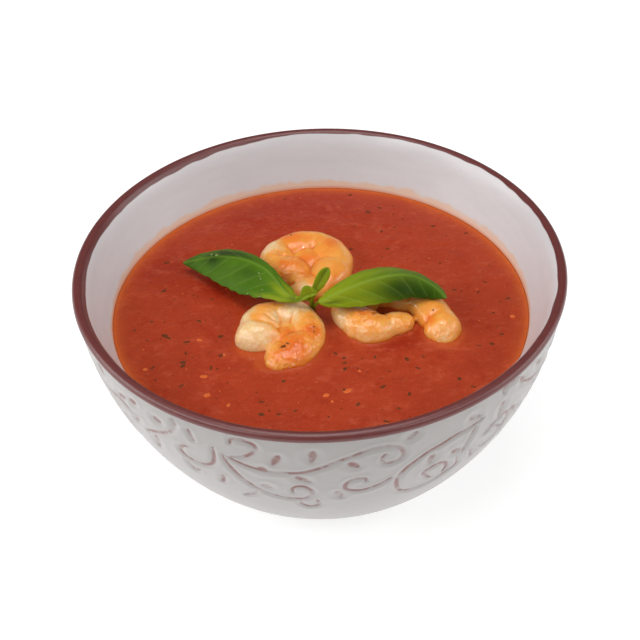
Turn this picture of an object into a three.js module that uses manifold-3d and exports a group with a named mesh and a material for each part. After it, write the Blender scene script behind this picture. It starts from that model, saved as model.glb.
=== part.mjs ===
// A bowl of gazpacho: a glazed stoneware bowl filled with thick tomato soup,
// three peeled shrimps half sunk in the middle and a sprig of basil on top.
// Millimetres, +Z up. The origin is on the bowl's axis, at the level it stands on.

import * as THREE from 'three';
import { mergeVertices } from 'three/addons/utils/BufferGeometryUtils.js';
import Module from 'manifold-3d';

const wasm = await Module();
wasm.setup();

// ---------------------------------------------------------------- dimensions

const TURN_STEPS = 60; // facets round the bowl and the soup
const CUT_GAP = 0.3; // air left between two pieces that touch

const RIM_RADIUS = 80;
const BOWL_HEIGHT = 76;
const FOOT_RADIUS = 38;
const FOOT_HEIGHT = 2.5;
const FOOT_RING_WIDTH = 4.5;
const FOOT_RECESS = 1.8;

const LIP_HALF_WIDTH = 1.85; // of the rounded bead that ends the wall
const LIP_HALF_HEIGHT = 1.7;
const LIP_START = -60; // degrees round the bead, from the outer wall ...
const LIP_END = 150; // ... over the top to the inner wall

const WALL_TOP_RADIUS = 79.2; // the outer wall's radius if it ran on up to the rim
const INNER_FLOOR = 9; // height of the inner floor
const INNER_FLOOR_RADIUS = 34;
const INNER_TOP_RADIUS = 76.3;

const SOUP_LEVEL = 57.1;
const SOUP_CLIMB = 0.5; // how far the soup creeps up the wall
const SOUP_CLIMB_WIDTH = 2;

// Each shrimp is a tube along its body line, which runs from the cut head end
// to the tail end. A row is x, y, the height over the soup level and the
// body's half width there. Flatness is half height to half width, outside is
// the side of the line (left 1, right -1) on the outside of the curl, and belly
// is how much further the body reaches on the other side. The belly flesh that
// closes the middle of the curl is a few flat lumps: x, y, height over the soup
// level, and the half sizes along x, y and z.
const SHRIMPS = {
  shrimp_front: {
    flatness: 0.84,
    outside: 1,
    belly: 1.22,
    lumps: [[-11.8, -13.6, 0.3, 6.6, 6.8, 3.5]],
    line: [
      [-20.6, -20.0, 0.6, 5.8],
      [-21.0, -14.0, 1.4, 6.7],
      [-19.6, -7.4, 1.8, 6.2],
      [-14.0, -3.4, 1.9, 5.2],
      [-7.4, -4.0, 1.7, 4.9],
      [-3.8, -9.8, 1.2, 4.8],
      [-4.8, -16.8, 0.6, 5.4],
      [-9.6, -22.0, 0.1, 6.0],
      [-15.2, -24.2, -0.4, 5.2],
      [-19.0, -25.0, -1.0, 3.4],
    ],
  },
  shrimp_back: {
    flatness: 0.86,
    outside: 1,
    belly: 1.12,
    lumps: [[-3.4, 24.0, 1.4, 7.6, 6.8, 4.2], [-4.6, 13.6, 0.6, 6.4, 4.6, 3.6]],
    line: [
      [-3.0, 17.4, 3.0, 4.6],
      [-9.2, 17.4, 3.0, 5.6],
      [-14.4, 21.6, 2.2, 5.6],
      [-12.6, 28.6, 1.8, 5.8],
      [-6.2, 32.2, 1.6, 6.0],
      [1.0, 30.6, 1.4, 6.4],
      [4.6, 24.4, 1.2, 6.6],
      [4.2, 16.8, 1.2, 6.5],
      [0.0, 10.8, 1.0, 5.6],
      [-6.4, 9.4, 0.8, 4.4],
      [-10.4, 10.6, 0.4, 3.0],
    ],
  },
  shrimp_right: {
    flatness: 0.86,
    outside: -1,
    belly: 1,
    lumps: [],
    line: [
      [41.2, -19.0, -0.6, 4.8],
      [39.6, -13.0, 0.6, 6.0],
      [37.6, -7.0, 1.2, 6.0],
      [33.6, -0.6, 1.4, 5.4],
      [27.0, 3.6, 1.2, 5.0],
      [19.6, 5.0, 1.0, 5.0],
      [12.6, 2.0, 1.0, 5.8],
      [9.8, -4.0, 1.0, 6.2],
      [15.8, -11.0, 0.8, 6.4],
      [22.0, -10.2, 1.0, 5.0],
      [26.6, -9.0, 1.3, 4.0],
      [30.8, -7.4, 1.4, 3.0],
    ],
  },
};
const SHRIMP_SEGMENTS = 6; // shell segments that show as lobes
const SHRIMP_LOBE = 0.1; // how far the lobes swell, as a share of the half width
const SHRIMP_RINGS = 29;
const SHRIMP_SIDES = 14;
const SHRIMP_CAP = 0.09; // share of the length that rounds off at each end
const SHRIMP_CROWDING = 0.85; // share of a bend's radius that the body may fill on its inside
const LUMP_SIDES = 10;
const LUMP_RINGS = 6;

// Each basil leaf hangs from its midrib, which runs from the stalk to the tip.
// A row is x, y, the height over the soup level, and how far the leaf reaches
// from the midrib on its far side and on its near side.
const LEAF_THICKNESS = 0.7;
const LEAVES = {
  left: {
    midrib: [
      [-7.0, -5.0, 9.2, 0.8, 0.8],
      [-11.2, -2.6, 10.4, 4.0, 3.8],
      [-14.2, 2.6, 11.5, 2.8, 9.0],
      [-18.0, 8.4, 12.0, 3.0, 11.2],
      [-24.8, 14.7, 11.2, 5.2, 11.2],
      [-33.0, 19.6, 9.0, 8.0, 9.2],
      [-39.2, 21.8, 6.6, 6.4, 5.8],
      [-42.8, 22.6, 5.2, 3.4, 2.8],
      [-45.8, 23.2, 4.0, 0.4, 0.4],
    ],
    droop: [[-16, -16], [-28, -38]], // degrees, far and near side, at stalk and tip
    wave: 0.3,
    steps: [16, 8],
  },
  right: {
    midrib: [
      [-0.4, -6.2, 9.0, 0.7, 0.7],
      [1.9, -6.4, 10.4, 3.4, 3.0],
      [4.7, -6.1, 12.0, 4.6, 5.1],
      [10.8, -4.8, 14.0, 6.6, 7.4],
      [17.5, -3.0, 15.2, 8.2, 8.3],
      [24.9, -1.6, 15.6, 9.4, 8.5],
      [31.1, -1.2, 14.4, 9.2, 7.7],
      [36.5, -2.5, 11.8, 7.2, 5.8],
      [39.2, -3.8, 9.8, 4.2, 3.8],
      [41.0, -5.5, 8.2, 0.4, 0.4],
    ],
    droop: [[5, -45], [-50, -50]],
    wave: 0.3,
    steps: [18, 8],
  },
  upright: {
    midrib: [
      [-3.0, -3.4, 7.8, 0.5, 0.5],
      [-1.8, -2.6, 10.6, 1.2, 1.2],
      [-0.2, -1.8, 13.2, 1.9, 1.9],
      [1.4, -0.8, 15.8, 2.1, 2.1],
      [2.6, 0.0, 17.2, 1.4, 1.4],
      [3.2, 0.4, 17.8, 0.3, 0.3],
    ],
    across: [1, 0, -0.2], // stands facing the front, so its sides point left and right
    droop: [[14, 14], [14, 14]],
    wave: 0.1,
    steps: [8, 4],
  },
  folded: {
    midrib: [
      [-0.8, -4.4, 11.2, 0.4, 0.3],
      [-2.6, -4.7, 11.2, 2.7, 0.8],
      [-4.0, -5.0, 11.0, 3.4, 1.0],
      [-5.6, -5.3, 10.2, 1.5, 0.9],
      [-7.2, -5.6, 9.0, 0.3, 0.3],
    ],
    across: [-0.1, 0.5, 0.85],
    droop: [[10, 10], [10, 10]],
    wave: 0.1,
    steps: [8, 4],
  },
};

// The stalks join the leaves to the stem, which stands in the soup.
const STALK_SIDES = 7;
const STALKS = [
  { from: [-2.2, 1.8, -2.5], to: [-3.0, -3.3, 8.0], radius: 0.95 },
  { from: [-3.0, -3.4, 7.8], to: [-8.0, -4.6, 9.6], radius: 0.8 },
  { from: [-2.2, -1.0, 2.6], to: [0.2, -6.0, 9.4], radius: 0.6 },
  { from: [-3.0, -3.4, 7.4], to: [-1.8, -2.6, 10.2], radius: 0.8 },
  { from: [-3.0, -3.4, 7.6], to: [-3.4, -4.8, 11.4], radius: 0.6 },
];

// Chopped herbs and bits of tomato and pepper lie in the soup's surface.
const FLECKS = {
  tried: 130, // places tried, of which the ones clear of the shrimps are kept
  reach: 64, // radius of the field they lie in
  length: [1.3, 2.6],
  slimness: [0.35, 0.75],
  rise: 0.3,
  clearance: 1.6, // to the shrimps and the stem
};

// ------------------------------------------------------------------ helpers

const radians = THREE.MathUtils.degToRad;
const lerp = THREE.MathUtils.lerp;

// A repeatable number from 0 to 1 for each whole number k and each use.
function scatter(k, use) {
  const wide = Math.sin(k * 12.9898 + use * 78.233) * 43758.5453;
  return wide - Math.floor(wide);
}

function closedGeometry(geometry) {
  const bare = geometry.clone();
  bare.deleteAttribute('normal');
  bare.deleteAttribute('uv');
  const merged = mergeVertices(bare, 1e-4);
  const corners = merged.index.array;
  const kept = [];
  for (let i = 0; i < corners.length; i += 3) {
    const [a, b, c] = [corners[i], corners[i + 1], corners[i + 2]];
    if (a !== b && b !== c && c !== a) kept.push(a, b, c);
  }
  merged.setIndex(kept);
  return merged;
}

function toSolid(geometry) {
  const closed = closedGeometry(geometry);
  return new wasm.Manifold(new wasm.Mesh({
    numProp: 3,
    vertProperties: new Float32Array(closed.attributes.position.array),
    triVerts: new Uint32Array(closed.index.array),
  }));
}

function toGeometry(solid) {
  const mesh = solid.getMesh();
  const geometry = new THREE.BufferGeometry();
  geometry.setAttribute('position', new THREE.BufferAttribute(mesh.vertProperties, 3));
  geometry.setIndex(new THREE.BufferAttribute(mesh.triVerts, 1));
  return geometry;
}

function union(solids) {
  return solids.reduce((whole, next) => whole.add(next));
}

// The solid without its loose crumbs, and with any sealed hollow filled.
function largestBody(solid) {
  return solid.decompose().reduce((most, body) => (body.volume() > most.volume() ? body : most));
}

function piece(name, geometry, color, roughness) {
  const shown = geometry.clone();
  shown.computeVertexNormals();
  const material = new THREE.MeshStandardMaterial({ color, roughness, metalness: 0 });
  const mesh = new THREE.Mesh(shown, material);
  mesh.name = name;
  return mesh;
}

// A solid skin over a grid of points: rows of equal length, each closed on
// itself, with one point at each end to shut it.
function tubeGeometry(rings, firstTip, lastTip) {
  const sides = rings[0].length;
  const points = [...rings.flat(), firstTip, lastTip];
  const first = points.length - 2;
  const last = points.length - 1;
  const faces = [];
  for (let i = 0; i + 1 < rings.length; i++) {
    for (let j = 0; j < sides; j++) {
      const a = i * sides + j;
      const b = i * sides + ((j + 1) % sides);
      faces.push(a, a + sides, b, b, a + sides, b + sides);
    }
  }
  const end = (rings.length - 1) * sides;
  for (let j = 0; j < sides; j++) {
    const k = (j + 1) % sides;
    faces.push(first, j, k);
    faces.push(last, end + k, end + j);
  }
  const geometry = new THREE.BufferGeometry().setFromPoints(points);
  geometry.setIndex(faces);
  return geometry;
}

// --------------------------------------------------------------------- bowl

function outerRadius(z) {
  const t = (z - FOOT_HEIGHT) / (BOWL_HEIGHT - FOOT_HEIGHT);
  const swell = Math.pow(1 - Math.pow(1 - t, 1.7), 1 / 1.4);
  return FOOT_RADIUS + (WALL_TOP_RADIUS - FOOT_RADIUS) * swell;
}

function innerRadius(z) {
  const t = (z - INNER_FLOOR) / (BOWL_HEIGHT - INNER_FLOOR);
  const swell = Math.pow(1 - Math.pow(1 - t, 1.043), 1 / 1.5);
  return INNER_FLOOR_RADIUS + (INNER_TOP_RADIUS - INNER_FLOOR_RADIUS) * swell;
}

const OUTER_HEIGHTS = [FOOT_HEIGHT, 3.6, 6, 10, 16, 24, 33, 43, 54, 65];
const INNER_HEIGHTS = [72.8, 66, SOUP_LEVEL, 47, 36, 26, 18, 12.6, 10, INNER_FLOOR];

function bowlGeometry() {
  const ringInner = FOOT_RADIUS - FOOT_RING_WIDTH;
  const profile = [
    [0, FOOT_RECESS],
    [ringInner - 1.5, FOOT_RECESS],
    [ringInner, 0],
    [FOOT_RADIUS - 0.8, 0],
    [FOOT_RADIUS - 0.1, 0.8],
  ];
  for (const z of OUTER_HEIGHTS) profile.push([outerRadius(z), z]);
  for (let angle = LIP_START; angle <= LIP_END; angle += 30) {
    profile.push([
      RIM_RADIUS + LIP_HALF_WIDTH * (Math.cos(radians(angle)) - 1),
      BOWL_HEIGHT + LIP_HALF_HEIGHT * (Math.sin(radians(angle)) - 1),
    ]);
  }
  for (const z of INNER_HEIGHTS) profile.push([innerRadius(z), z]);
  profile.push([0, INNER_FLOOR]);
  return turned(profile);
}

function turned(profile) {
  const points = profile.map(([r, z]) => new THREE.Vector2(r, z));
  const lathe = new THREE.LatheGeometry(points, TURN_STEPS);
  return closedGeometry(lathe.rotateX(Math.PI / 2));
}

// ------------------------------------------------------------------ shrimps

// The body line as a smooth curve.
function bodyCurve(shrimp) {
  const points = shrimp.line.map(([x, y, z]) => new THREE.Vector3(x, y, SOUP_LEVEL + z));
  return new THREE.CatmullRomCurve3(points, false, 'catmullrom', 0.5);
}

// The half width at the share u of the line, as smooth as the line itself.
function halfWidthAt(shrimp, u) {
  const widths = shrimp.line.map((row) => new THREE.Vector3(row[3], 0, 0));
  return new THREE.CatmullRomCurve3(widths, false, 'catmullrom', 0.5).getPoint(u).x;
}

// How full the body is at the share u of its length: round at both ends.
function fullness(u) {
  const fromEnd = Math.min(u, 1 - u);
  const short = Math.max(0, 1 - fromEnd / SHRIMP_CAP);
  return Math.sqrt(Math.max(0, 1 - short * short));
}

// How far a ring may reach to its left (+1) and right (-1) before it would
// cross the next ring in a tight bend. A frame is a ring's centre and left.
function roomBeside(frames, i) {
  const room = { 1: Infinity, '-1': Infinity };
  for (const other of [frames[i - 1], frames[i + 1]]) {
    if (!other) continue;
    const { centre, left } = frames[i];
    const cross = left.x * other.left.y - left.y * other.left.x;
    const [dx, dy] = [other.centre.x - centre.x, other.centre.y - centre.y];
    const meet = (dx * other.left.y - dy * other.left.x) / (cross || 1e-9);
    const side = Math.sign(meet) || 1;
    room[side] = Math.min(room[side], SHRIMP_CROWDING * Math.abs(meet));
  }
  return room;
}

// The swelling of the shell segments: 0 between two segments, 1 on a segment's middle.
function lobe(u) {
  return Math.abs(Math.sin(Math.PI * SHRIMP_SEGMENTS * u));
}

function lumpSolid([x, y, z, ...halves], grow) {
  const ball = new THREE.SphereGeometry(1, LUMP_SIDES, LUMP_RINGS);
  const [halfX, halfY, halfZ] = halves.map((half) => half + grow);
  return toSolid(ball.rotateX(Math.PI / 2).scale(halfX, halfY, halfZ).translate(x, y, SOUP_LEVEL + z));
}

function shrimpSolid(shrimp, grow = 0) {
  const curve = bodyCurve(shrimp);
  const frames = [];
  for (let i = 0; i <= SHRIMP_RINGS; i++) {
    const even = i / SHRIMP_RINGS;
    const u = lerp(even, (1 - Math.cos(Math.PI * even)) / 2, 0.35); // closer at the ends
    const along = curve.getTangent(u).setZ(0).normalize();
    frames.push({ u, along, centre: curve.getPoint(u), left: new THREE.Vector3(-along.y, along.x, 0) });
  }
  const rings = frames.map(({ u, centre, left }, i) => {
    const room = roomBeside(frames, i);
    const ring = [];
    for (let j = 0; j < SHRIMP_SIDES; j++) {
      const angle = (-2 * Math.PI * j) / SHRIMP_SIDES;
      const swell = 1 + SHRIMP_LOBE * (lobe(u) - 0.5);
      const half = halfWidthAt(shrimp, u) * fullness(u) * swell;
      const side = Math.cos(angle) > 0 ? 1 : -1;
      const reach = side === shrimp.outside ? half : half * shrimp.belly;
      const wide = (Math.min(reach, room[side]) + grow) * Math.cos(angle);
      const up = (half + grow) * shrimp.flatness * Math.sin(angle);
      ring.push(centre.clone().addScaledVector(left, wide).add(new THREE.Vector3(0, 0, up)));
    }
    return ring;
  });
  // The body is skinned in short lengths that are then joined, since parts of
  // a tight curl lie against each other.
  const pieces = [];
  for (let i = 1; i + 2 < rings.length; i++) {
    const from = i === 1 ? frames[0].centre.clone().addScaledVector(frames[0].along, -grow)
      : frames[i].centre;
    const to = i + 3 === rings.length
      ? frames[i + 2].centre.clone().addScaledVector(frames[i + 2].along, grow)
      : frames[i + 1].centre;
    pieces.push(toSolid(tubeGeometry([rings[i], rings[i + 1]], from, to)));
  }
  return largestBody(union([...pieces, ...shrimp.lumps.map((lump) => lumpSolid(lump, grow))]));
}

// -------------------------------------------------------------------- basil

function leafSolid(leaf) {
  const smooth = (points) => new THREE.CatmullRomCurve3(points, false, 'catmullrom', 0.5);
  const rib = smooth(leaf.midrib.map(([x, y, z]) => new THREE.Vector3(x, y, SOUP_LEVEL + z)));
  const reach = smooth(leaf.midrib.map((row) => new THREE.Vector3(row[3], row[4], 0)));
  const up = new THREE.Vector3(0, 0, 1);
  const [along, across] = leaf.steps;
  const faces = [[], []]; // the upper and the lower face, point for point alike
  for (let i = 0; i <= along; i++) {
    const u = i / along;
    const middle = rib.getPoint(u);
    const forward = rib.getTangent(u);
    const far = new THREE.Vector3();
    if (leaf.across) far.set(...leaf.across).addScaledVector(forward, -far.dot(forward));
    else far.crossVectors(up, forward);
    far.normalize();
    if (!leaf.across && far.y < 0) far.negate();
    const lift = new THREE.Vector3().crossVectors(forward, far).normalize();
    if (lift.z < 0) lift.negate();
    for (let j = 0; j <= across; j++) {
      const t = (2 * j) / across - 1; // -1 at the near edge, 1 at the far edge
      const side = t > 0 ? 0 : 1;
      const droop = radians(lerp(...leaf.droop[side], u));
      const out = Math.abs(t) * (side === 0 ? reach.getPoint(u).x : reach.getPoint(u).y);
      const ripple = leaf.wave * t * t * Math.sin(14 * u + 2 * t);
      const at = middle.clone()
        .addScaledVector(far, Math.sign(t) * out * Math.cos(droop))
        .addScaledVector(lift, out * Math.sin(droop) + ripple);
      const facing = lift.clone().multiplyScalar(Math.cos(droop))
        .addScaledVector(far, -Math.sin(droop) * Math.sign(t))
        .multiplyScalar(LEAF_THICKNESS / 2);
      faces[0].push(at.clone().add(facing));
      faces[1].push(at.clone().sub(facing));
    }
  }
  return toSolid(sheetGeometry(faces[0], faces[1], along, across));
}

// Two grids of points, one over the other, closed along their four edges.
function sheetGeometry(upper, lower, along, across) {
  const row = across + 1;
  const under = upper.length;
  const faces = [];
  for (let i = 0; i < along; i++) {
    for (let j = 0; j < across; j++) {
      const [a, b, c, d] = [i * row + j, i * row + j + 1, (i + 1) * row + j + 1, (i + 1) * row + j];
      faces.push(a, b, c, a, c, d);
      faces.push(under + a, under + c, under + b, under + a, under + d, under + c);
    }
  }
  const wall = (a, b) => faces.push(a, b, under + b, a, under + b, under + a);
  for (let i = 0; i < along; i++) {
    wall(i * row, (i + 1) * row);
    wall((i + 1) * row + across, i * row + across);
  }
  for (let j = 0; j < across; j++) {
    wall(j + 1, j);
    wall(along * row + j, along * row + j + 1);
  }
  const geometry = new THREE.BufferGeometry().setFromPoints([...upper, ...lower]);
  geometry.setIndex(faces);
  const volume = signedVolume(geometry);
  if (volume < 0) geometry.setIndex(faces.reverse());
  return geometry;
}

function signedVolume(geometry) {
  const place = geometry.attributes.position;
  const corners = geometry.index.array;
  const [a, b, c] = [new THREE.Vector3(), new THREE.Vector3(), new THREE.Vector3()];
  let volume = 0;
  for (let i = 0; i < corners.length; i += 3) {
    a.fromBufferAttribute(place, corners[i]);
    b.fromBufferAttribute(place, corners[i + 1]);
    c.fromBufferAttribute(place, corners[i + 2]);
    volume += a.dot(b.cross(c)) / 6;
  }
  return volume;
}

function stalkSolid(stalk, grow = 0) {
  const from = new THREE.Vector3(...stalk.from).add(new THREE.Vector3(0, 0, SOUP_LEVEL));
  const to = new THREE.Vector3(...stalk.to).add(new THREE.Vector3(0, 0, SOUP_LEVEL));
  const length = from.distanceTo(to);
  const radius = stalk.radius + grow;
  const rod = new THREE.CylinderGeometry(radius * 0.85, radius, length, STALK_SIDES);
  const turn = new THREE.Quaternion().setFromUnitVectors(
    new THREE.Vector3(0, 1, 0), to.clone().sub(from).normalize(),
  );
  rod.applyQuaternion(turn);
  const middle = from.add(to).multiplyScalar(0.5);
  return toSolid(rod.translate(middle.x, middle.y, middle.z));
}

function basilSolid() {
  return union([
    ...Object.values(LEAVES).map(leafSolid),
    ...STALKS.map((stalk) => stalkSolid(stalk)),
  ]);
}

// --------------------------------------------------------------------- soup

// The soup follows the bowl's inner wall a gap away and ends level on top,
// where it creeps up a little at the edge.
function soupGeometry() {
  const heights = INNER_HEIGHTS.filter((z) => z < SOUP_LEVEL).reverse();
  const profile = [[0, INNER_FLOOR + CUT_GAP]];
  const besideWall = (z) => {
    const step = 0.05;
    const slope = (innerRadius(z + step) - innerRadius(z)) / step;
    const length = Math.hypot(1, slope);
    return [innerRadius(z) - CUT_GAP / length, z + (CUT_GAP * slope) / length];
  };
  for (const z of heights) {
    profile.push(z === INNER_FLOOR ? [INNER_FLOOR_RADIUS - 1, z + CUT_GAP] : besideWall(z));
  }
  const [edgeRadius] = besideWall(SOUP_LEVEL);
  const climbed = innerRadius(SOUP_LEVEL + SOUP_CLIMB) - innerRadius(SOUP_LEVEL);
  profile.push([edgeRadius + climbed, SOUP_LEVEL + SOUP_CLIMB]);
  profile.push([edgeRadius - SOUP_CLIMB_WIDTH / 3, SOUP_LEVEL + SOUP_CLIMB / 4]);
  profile.push([edgeRadius - SOUP_CLIMB_WIDTH, SOUP_LEVEL]);
  profile.push([0, SOUP_LEVEL]);
  return turned(profile);
}

function clearOfGarnish(x, y) {
  const [stem] = STALKS;
  if (Math.hypot(x - stem.from[0], y - stem.from[1]) < 2 * FLECKS.clearance) return false;
  for (const shrimp of Object.values(SHRIMPS)) {
    for (let u = 0; u <= 1; u += 1 / 60) {
      const at = bodyCurve(shrimp).getPoint(u);
      const reach = 1.1 * halfWidthAt(shrimp, u) + FLECKS.clearance;
      if (Math.hypot(x - at.x, y - at.y) < reach) return false;
    }
  }
  return true;
}

// The flecks lie on a sunflower spiral, shaken out of its pattern, thicker in
// the front half of the bowl.
function fleckSolids() {
  const golden = Math.PI * (3 - Math.sqrt(5));
  const flecks = [];
  for (let k = 0; k < FLECKS.tried; k++) {
    const distance = FLECKS.reach * Math.sqrt((k + 0.2 + 0.6 * scatter(k, 1)) / FLECKS.tried);
    const angle = k * golden + 0.5 * scatter(k, 2);
    const x = distance * Math.cos(angle);
    const y = distance * Math.sin(angle);
    const crowd = y < 0 ? 0.68 : 0.34;
    if (scatter(k, 3) > crowd || !clearOfGarnish(x, y)) continue;
    const length = lerp(...FLECKS.length, scatter(k, 4));
    const width = length * lerp(...FLECKS.slimness, scatter(k, 5));
    const bit = new THREE.IcosahedronGeometry(1, 0);
    bit.scale(length / 2, width / 2, FLECKS.rise);
    bit.rotateZ(Math.PI * scatter(k, 6));
    bit.translate(x, y, SOUP_LEVEL + 0.03);
    flecks.push(toSolid(bit));
  }
  return flecks;
}

function soupSolid() {
  const pockets = [
    ...Object.values(SHRIMPS).map((shrimp) => shrimpSolid(shrimp, CUT_GAP)),
    stalkSolid(STALKS[0], CUT_GAP),
  ];
  return largestBody(union([toSolid(soupGeometry()), ...fleckSolids()]).subtract(union(pockets)));
}

// ----------------------------------------------------------------- assembly

const gazpacho = new THREE.Group();
gazpacho.add(piece('bowl', bowlGeometry(), '#d8d3d0', 0.25));
gazpacho.add(piece('soup', toGeometry(soupSolid()), '#b3402a', 0.3));
for (const [name, shrimp] of Object.entries(SHRIMPS)) {
  gazpacho.add(piece(name, toGeometry(shrimpSolid(shrimp)), '#eeb87c', 0.35));
}
gazpacho.add(piece('basil_sprig', toGeometry(basilSolid()), '#4f7a2c', 0.4));

export default gazpacho;
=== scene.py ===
# %% [markdown]
# # A bowl of gazpacho
#
# This notebook dresses a plain CAD model of a soup bowl until it looks like the real thing: glazed
# stoneware with a carved vine, thick tomato soup, three peeled shrimps and a sprig of basil. The CAD
# model is loaded first and never changed. Every piece made here is a mesh worked out from named sizes,
# in the same place as the solid it stands for, and all lengths below are millimetres unless noted.

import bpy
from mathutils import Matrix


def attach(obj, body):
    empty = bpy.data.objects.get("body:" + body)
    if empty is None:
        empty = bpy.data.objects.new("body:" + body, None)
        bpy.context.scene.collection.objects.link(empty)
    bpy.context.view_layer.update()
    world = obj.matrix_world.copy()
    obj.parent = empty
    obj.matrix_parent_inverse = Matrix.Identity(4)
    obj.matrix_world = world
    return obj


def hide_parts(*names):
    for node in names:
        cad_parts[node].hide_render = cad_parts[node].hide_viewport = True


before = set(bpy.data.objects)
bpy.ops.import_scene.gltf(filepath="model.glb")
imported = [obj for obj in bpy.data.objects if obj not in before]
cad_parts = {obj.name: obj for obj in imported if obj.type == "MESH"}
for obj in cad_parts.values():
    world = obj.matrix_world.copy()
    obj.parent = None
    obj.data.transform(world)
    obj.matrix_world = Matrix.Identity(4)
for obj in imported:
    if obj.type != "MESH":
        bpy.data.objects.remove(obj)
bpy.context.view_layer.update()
print("solids:", sorted(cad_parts))

# %% [markdown]
# ## The camera
#
# A photograph has one place from which its shapes line up. Here that is about 65 cm in front of the
# bowl, looking 40 degrees down through a long lens, so the rim is a wide ellipse and hardly narrows
# with distance. The camera's axes are worked out from its turn, tilt and roll, which is easier to
# check than three Euler angles.

# %% Camera
import math

import bpy
import numpy as np
from mathutils import Matrix, Vector, noise

MM = 0.001  # scene units in a millimetre
CAMERA_PLACE = (0.0, -469.76, 449.27)
CAMERA_LENS = 104.25
SENSOR_WIDTH = 36
CAMERA_TURN = math.radians(-0.034)
CAMERA_TILT = math.radians(40.134)
CAMERA_ROLL = math.radians(-2.058)


def put_in_scene(name, data):
    """A new object with the given data, linked into the scene."""
    made = bpy.data.objects.new(name, data)
    bpy.context.scene.collection.objects.link(made)
    return made


def make_camera():
    forward = Vector((math.sin(CAMERA_TURN) * math.cos(CAMERA_TILT),
                      math.cos(CAMERA_TURN) * math.cos(CAMERA_TILT),
                      -math.sin(CAMERA_TILT)))
    right = Vector((math.cos(CAMERA_TURN), -math.sin(CAMERA_TURN), 0))
    axes = Matrix((right, right.cross(forward), -forward)).transposed()
    camera = put_in_scene("camera", bpy.data.cameras.new("camera"))
    camera.data.lens = CAMERA_LENS
    camera.data.sensor_width = SENSOR_WIDTH
    camera.matrix_world = (Matrix.Translation(Vector(CAMERA_PLACE) * MM)
                           @ axes.to_4x4() @ Matrix.Rotation(CAMERA_ROLL, 4, "Z"))
    bpy.context.scene.camera = camera
    return camera


camera = make_camera()
print("camera at", [round(c, 3) for c in camera.location], "m")

# %% [markdown]
# ## Mesh helpers
#
# Nearly every piece here is a grid of points that is bent into shape: a bowl is a grid turned round an
# axis, a shrimp is a grid rolled into a tube, a leaf is a flat grid. So a few helpers make the faces of
# a grid and turn NumPy arrays into a mesh. Arrays are much faster than a Python loop over vertices.
# A grid whose first and last rows are each drawn in to a point is closed, like a skin without a hole.

# %% Faces of a grid


def grid_faces(rows, columns, closed, first=0):
    """Quads between the points of a grid. A closed grid also joins its last column to its first."""
    index = first + np.arange(rows * columns).reshape(rows, columns)
    if closed:
        index = np.hstack([index, index[:, :1]])
    a, b = index[:-1, :-1].ravel(), index[:-1, 1:].ravel()
    c, d = index[1:, 1:].ravel(), index[1:, :-1].ravel()
    return np.stack([a, b, c, d], 1).tolist()


def fan_faces(ring, tip, flip):
    """Triangles from a closed ring of points to one point."""
    ring = list(ring)
    pairs = zip(ring, ring[1:] + ring[:1])
    return [(b, a, tip) if flip else (a, b, tip) for a, b in pairs]


def closed_form(grid, tips):
    """Points and faces of a closed grid whose first and last rows are drawn in to two points."""
    rows, columns = grid.shape[:2]
    points = np.vstack([grid.reshape(-1, 3), tips])
    faces = grid_faces(rows, columns, closed=True)
    last = (rows - 1) * columns
    faces += fan_faces(range(columns), len(points) - 2, flip=True)
    faces += fan_faces(range(last, last + columns), len(points) - 1, flip=False)
    return points, faces


def renumbered(faces, first):
    """The same faces for points that come after others in a joined mesh."""
    return [tuple(i + first for i in face) for face in faces]


# %% [markdown]
# ## Curves and uneven surfaces
#
# Few numbers can give a soft, natural line if a spline runs through them. The spline here is the same
# uniform Catmull-Rom curve as in the CAD source, so the dressed piece keeps the form of the solid.
# Smooth noise then makes a surface uneven. It depends on the place alone, so every run gives the same.

# %% Splines and noise
SMALL_STEP = 1e-4  # share of a curve over which its direction is measured


def spline(rows, u):
    """Points at the shares u of a smooth curve through rows of numbers."""
    rows = np.asarray(rows, float)
    cells = len(rows) - 1
    place = np.clip(np.asarray(u, float), 0, 1) * cells
    cell = np.minimum(place.astype(int), cells - 1)
    t = (place - cell)[..., None]
    ends = np.vstack([2 * rows[0] - rows[1], rows, 2 * rows[-1] - rows[-2]])
    before, start, end, after = (ends[cell + k] for k in range(4))
    return (start + 0.5 * t * (end - before)
            + t**2 * (before - 2.5 * start + 2 * end - 0.5 * after)
            + 0.5 * t**3 * (3 * (start - end) + after - before))


def heading(rows, u):
    """Which way a spline runs on at the shares u. Not yet of length 1."""
    return spline(rows, np.minimum(u + SMALL_STEP, 1)) - spline(rows, np.maximum(u - SMALL_STEP, 0))


def lerp(low, high, t):
    return low + (high - low) * t


def smoothstep(low, high, value):
    t = np.clip((value - low) / (high - low), 0, 1)
    return t * t * (3 - 2 * t)


def rough(points, size, seed):
    """Smooth random numbers of about -1 to 1, one per point, with bumps of the given size."""
    scaled = np.asarray(points, float) / size + seed
    return np.array([noise.noise(Vector(p)) for p in scaled])


# %% Pieces


def make_piece(name, points, faces, finish, marks=None):
    """A smooth mesh from points in millimetres. Marks are numbers per point for the finish to read."""
    mesh = bpy.data.meshes.new(name)
    mesh.from_pydata((np.asarray(points) * MM).tolist(), [], faces)
    mesh.shade_smooth()
    for mark, values in (marks or {}).items():
        layer = mesh.attributes.new(mark, "FLOAT", "POINT")
        layer.data.foreach_set("value", np.asarray(values, np.float32).ravel())
    mesh.materials.append(finish)
    piece = put_in_scene(name, mesh)
    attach(piece, "root")
    print(name, len(mesh.vertices), "points")
    return piece


# %% [markdown]
# ## Material helpers
#
# A procedural material is a small network of nodes. Written out, each node takes three or four lines,
# so these helpers shorten a node to one call: an input is either a number, a colour or the output of
# another node. Colours are given as a screen shows them and turned into the linear values that the
# renderer works with.

# %% Nodes in short


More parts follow.
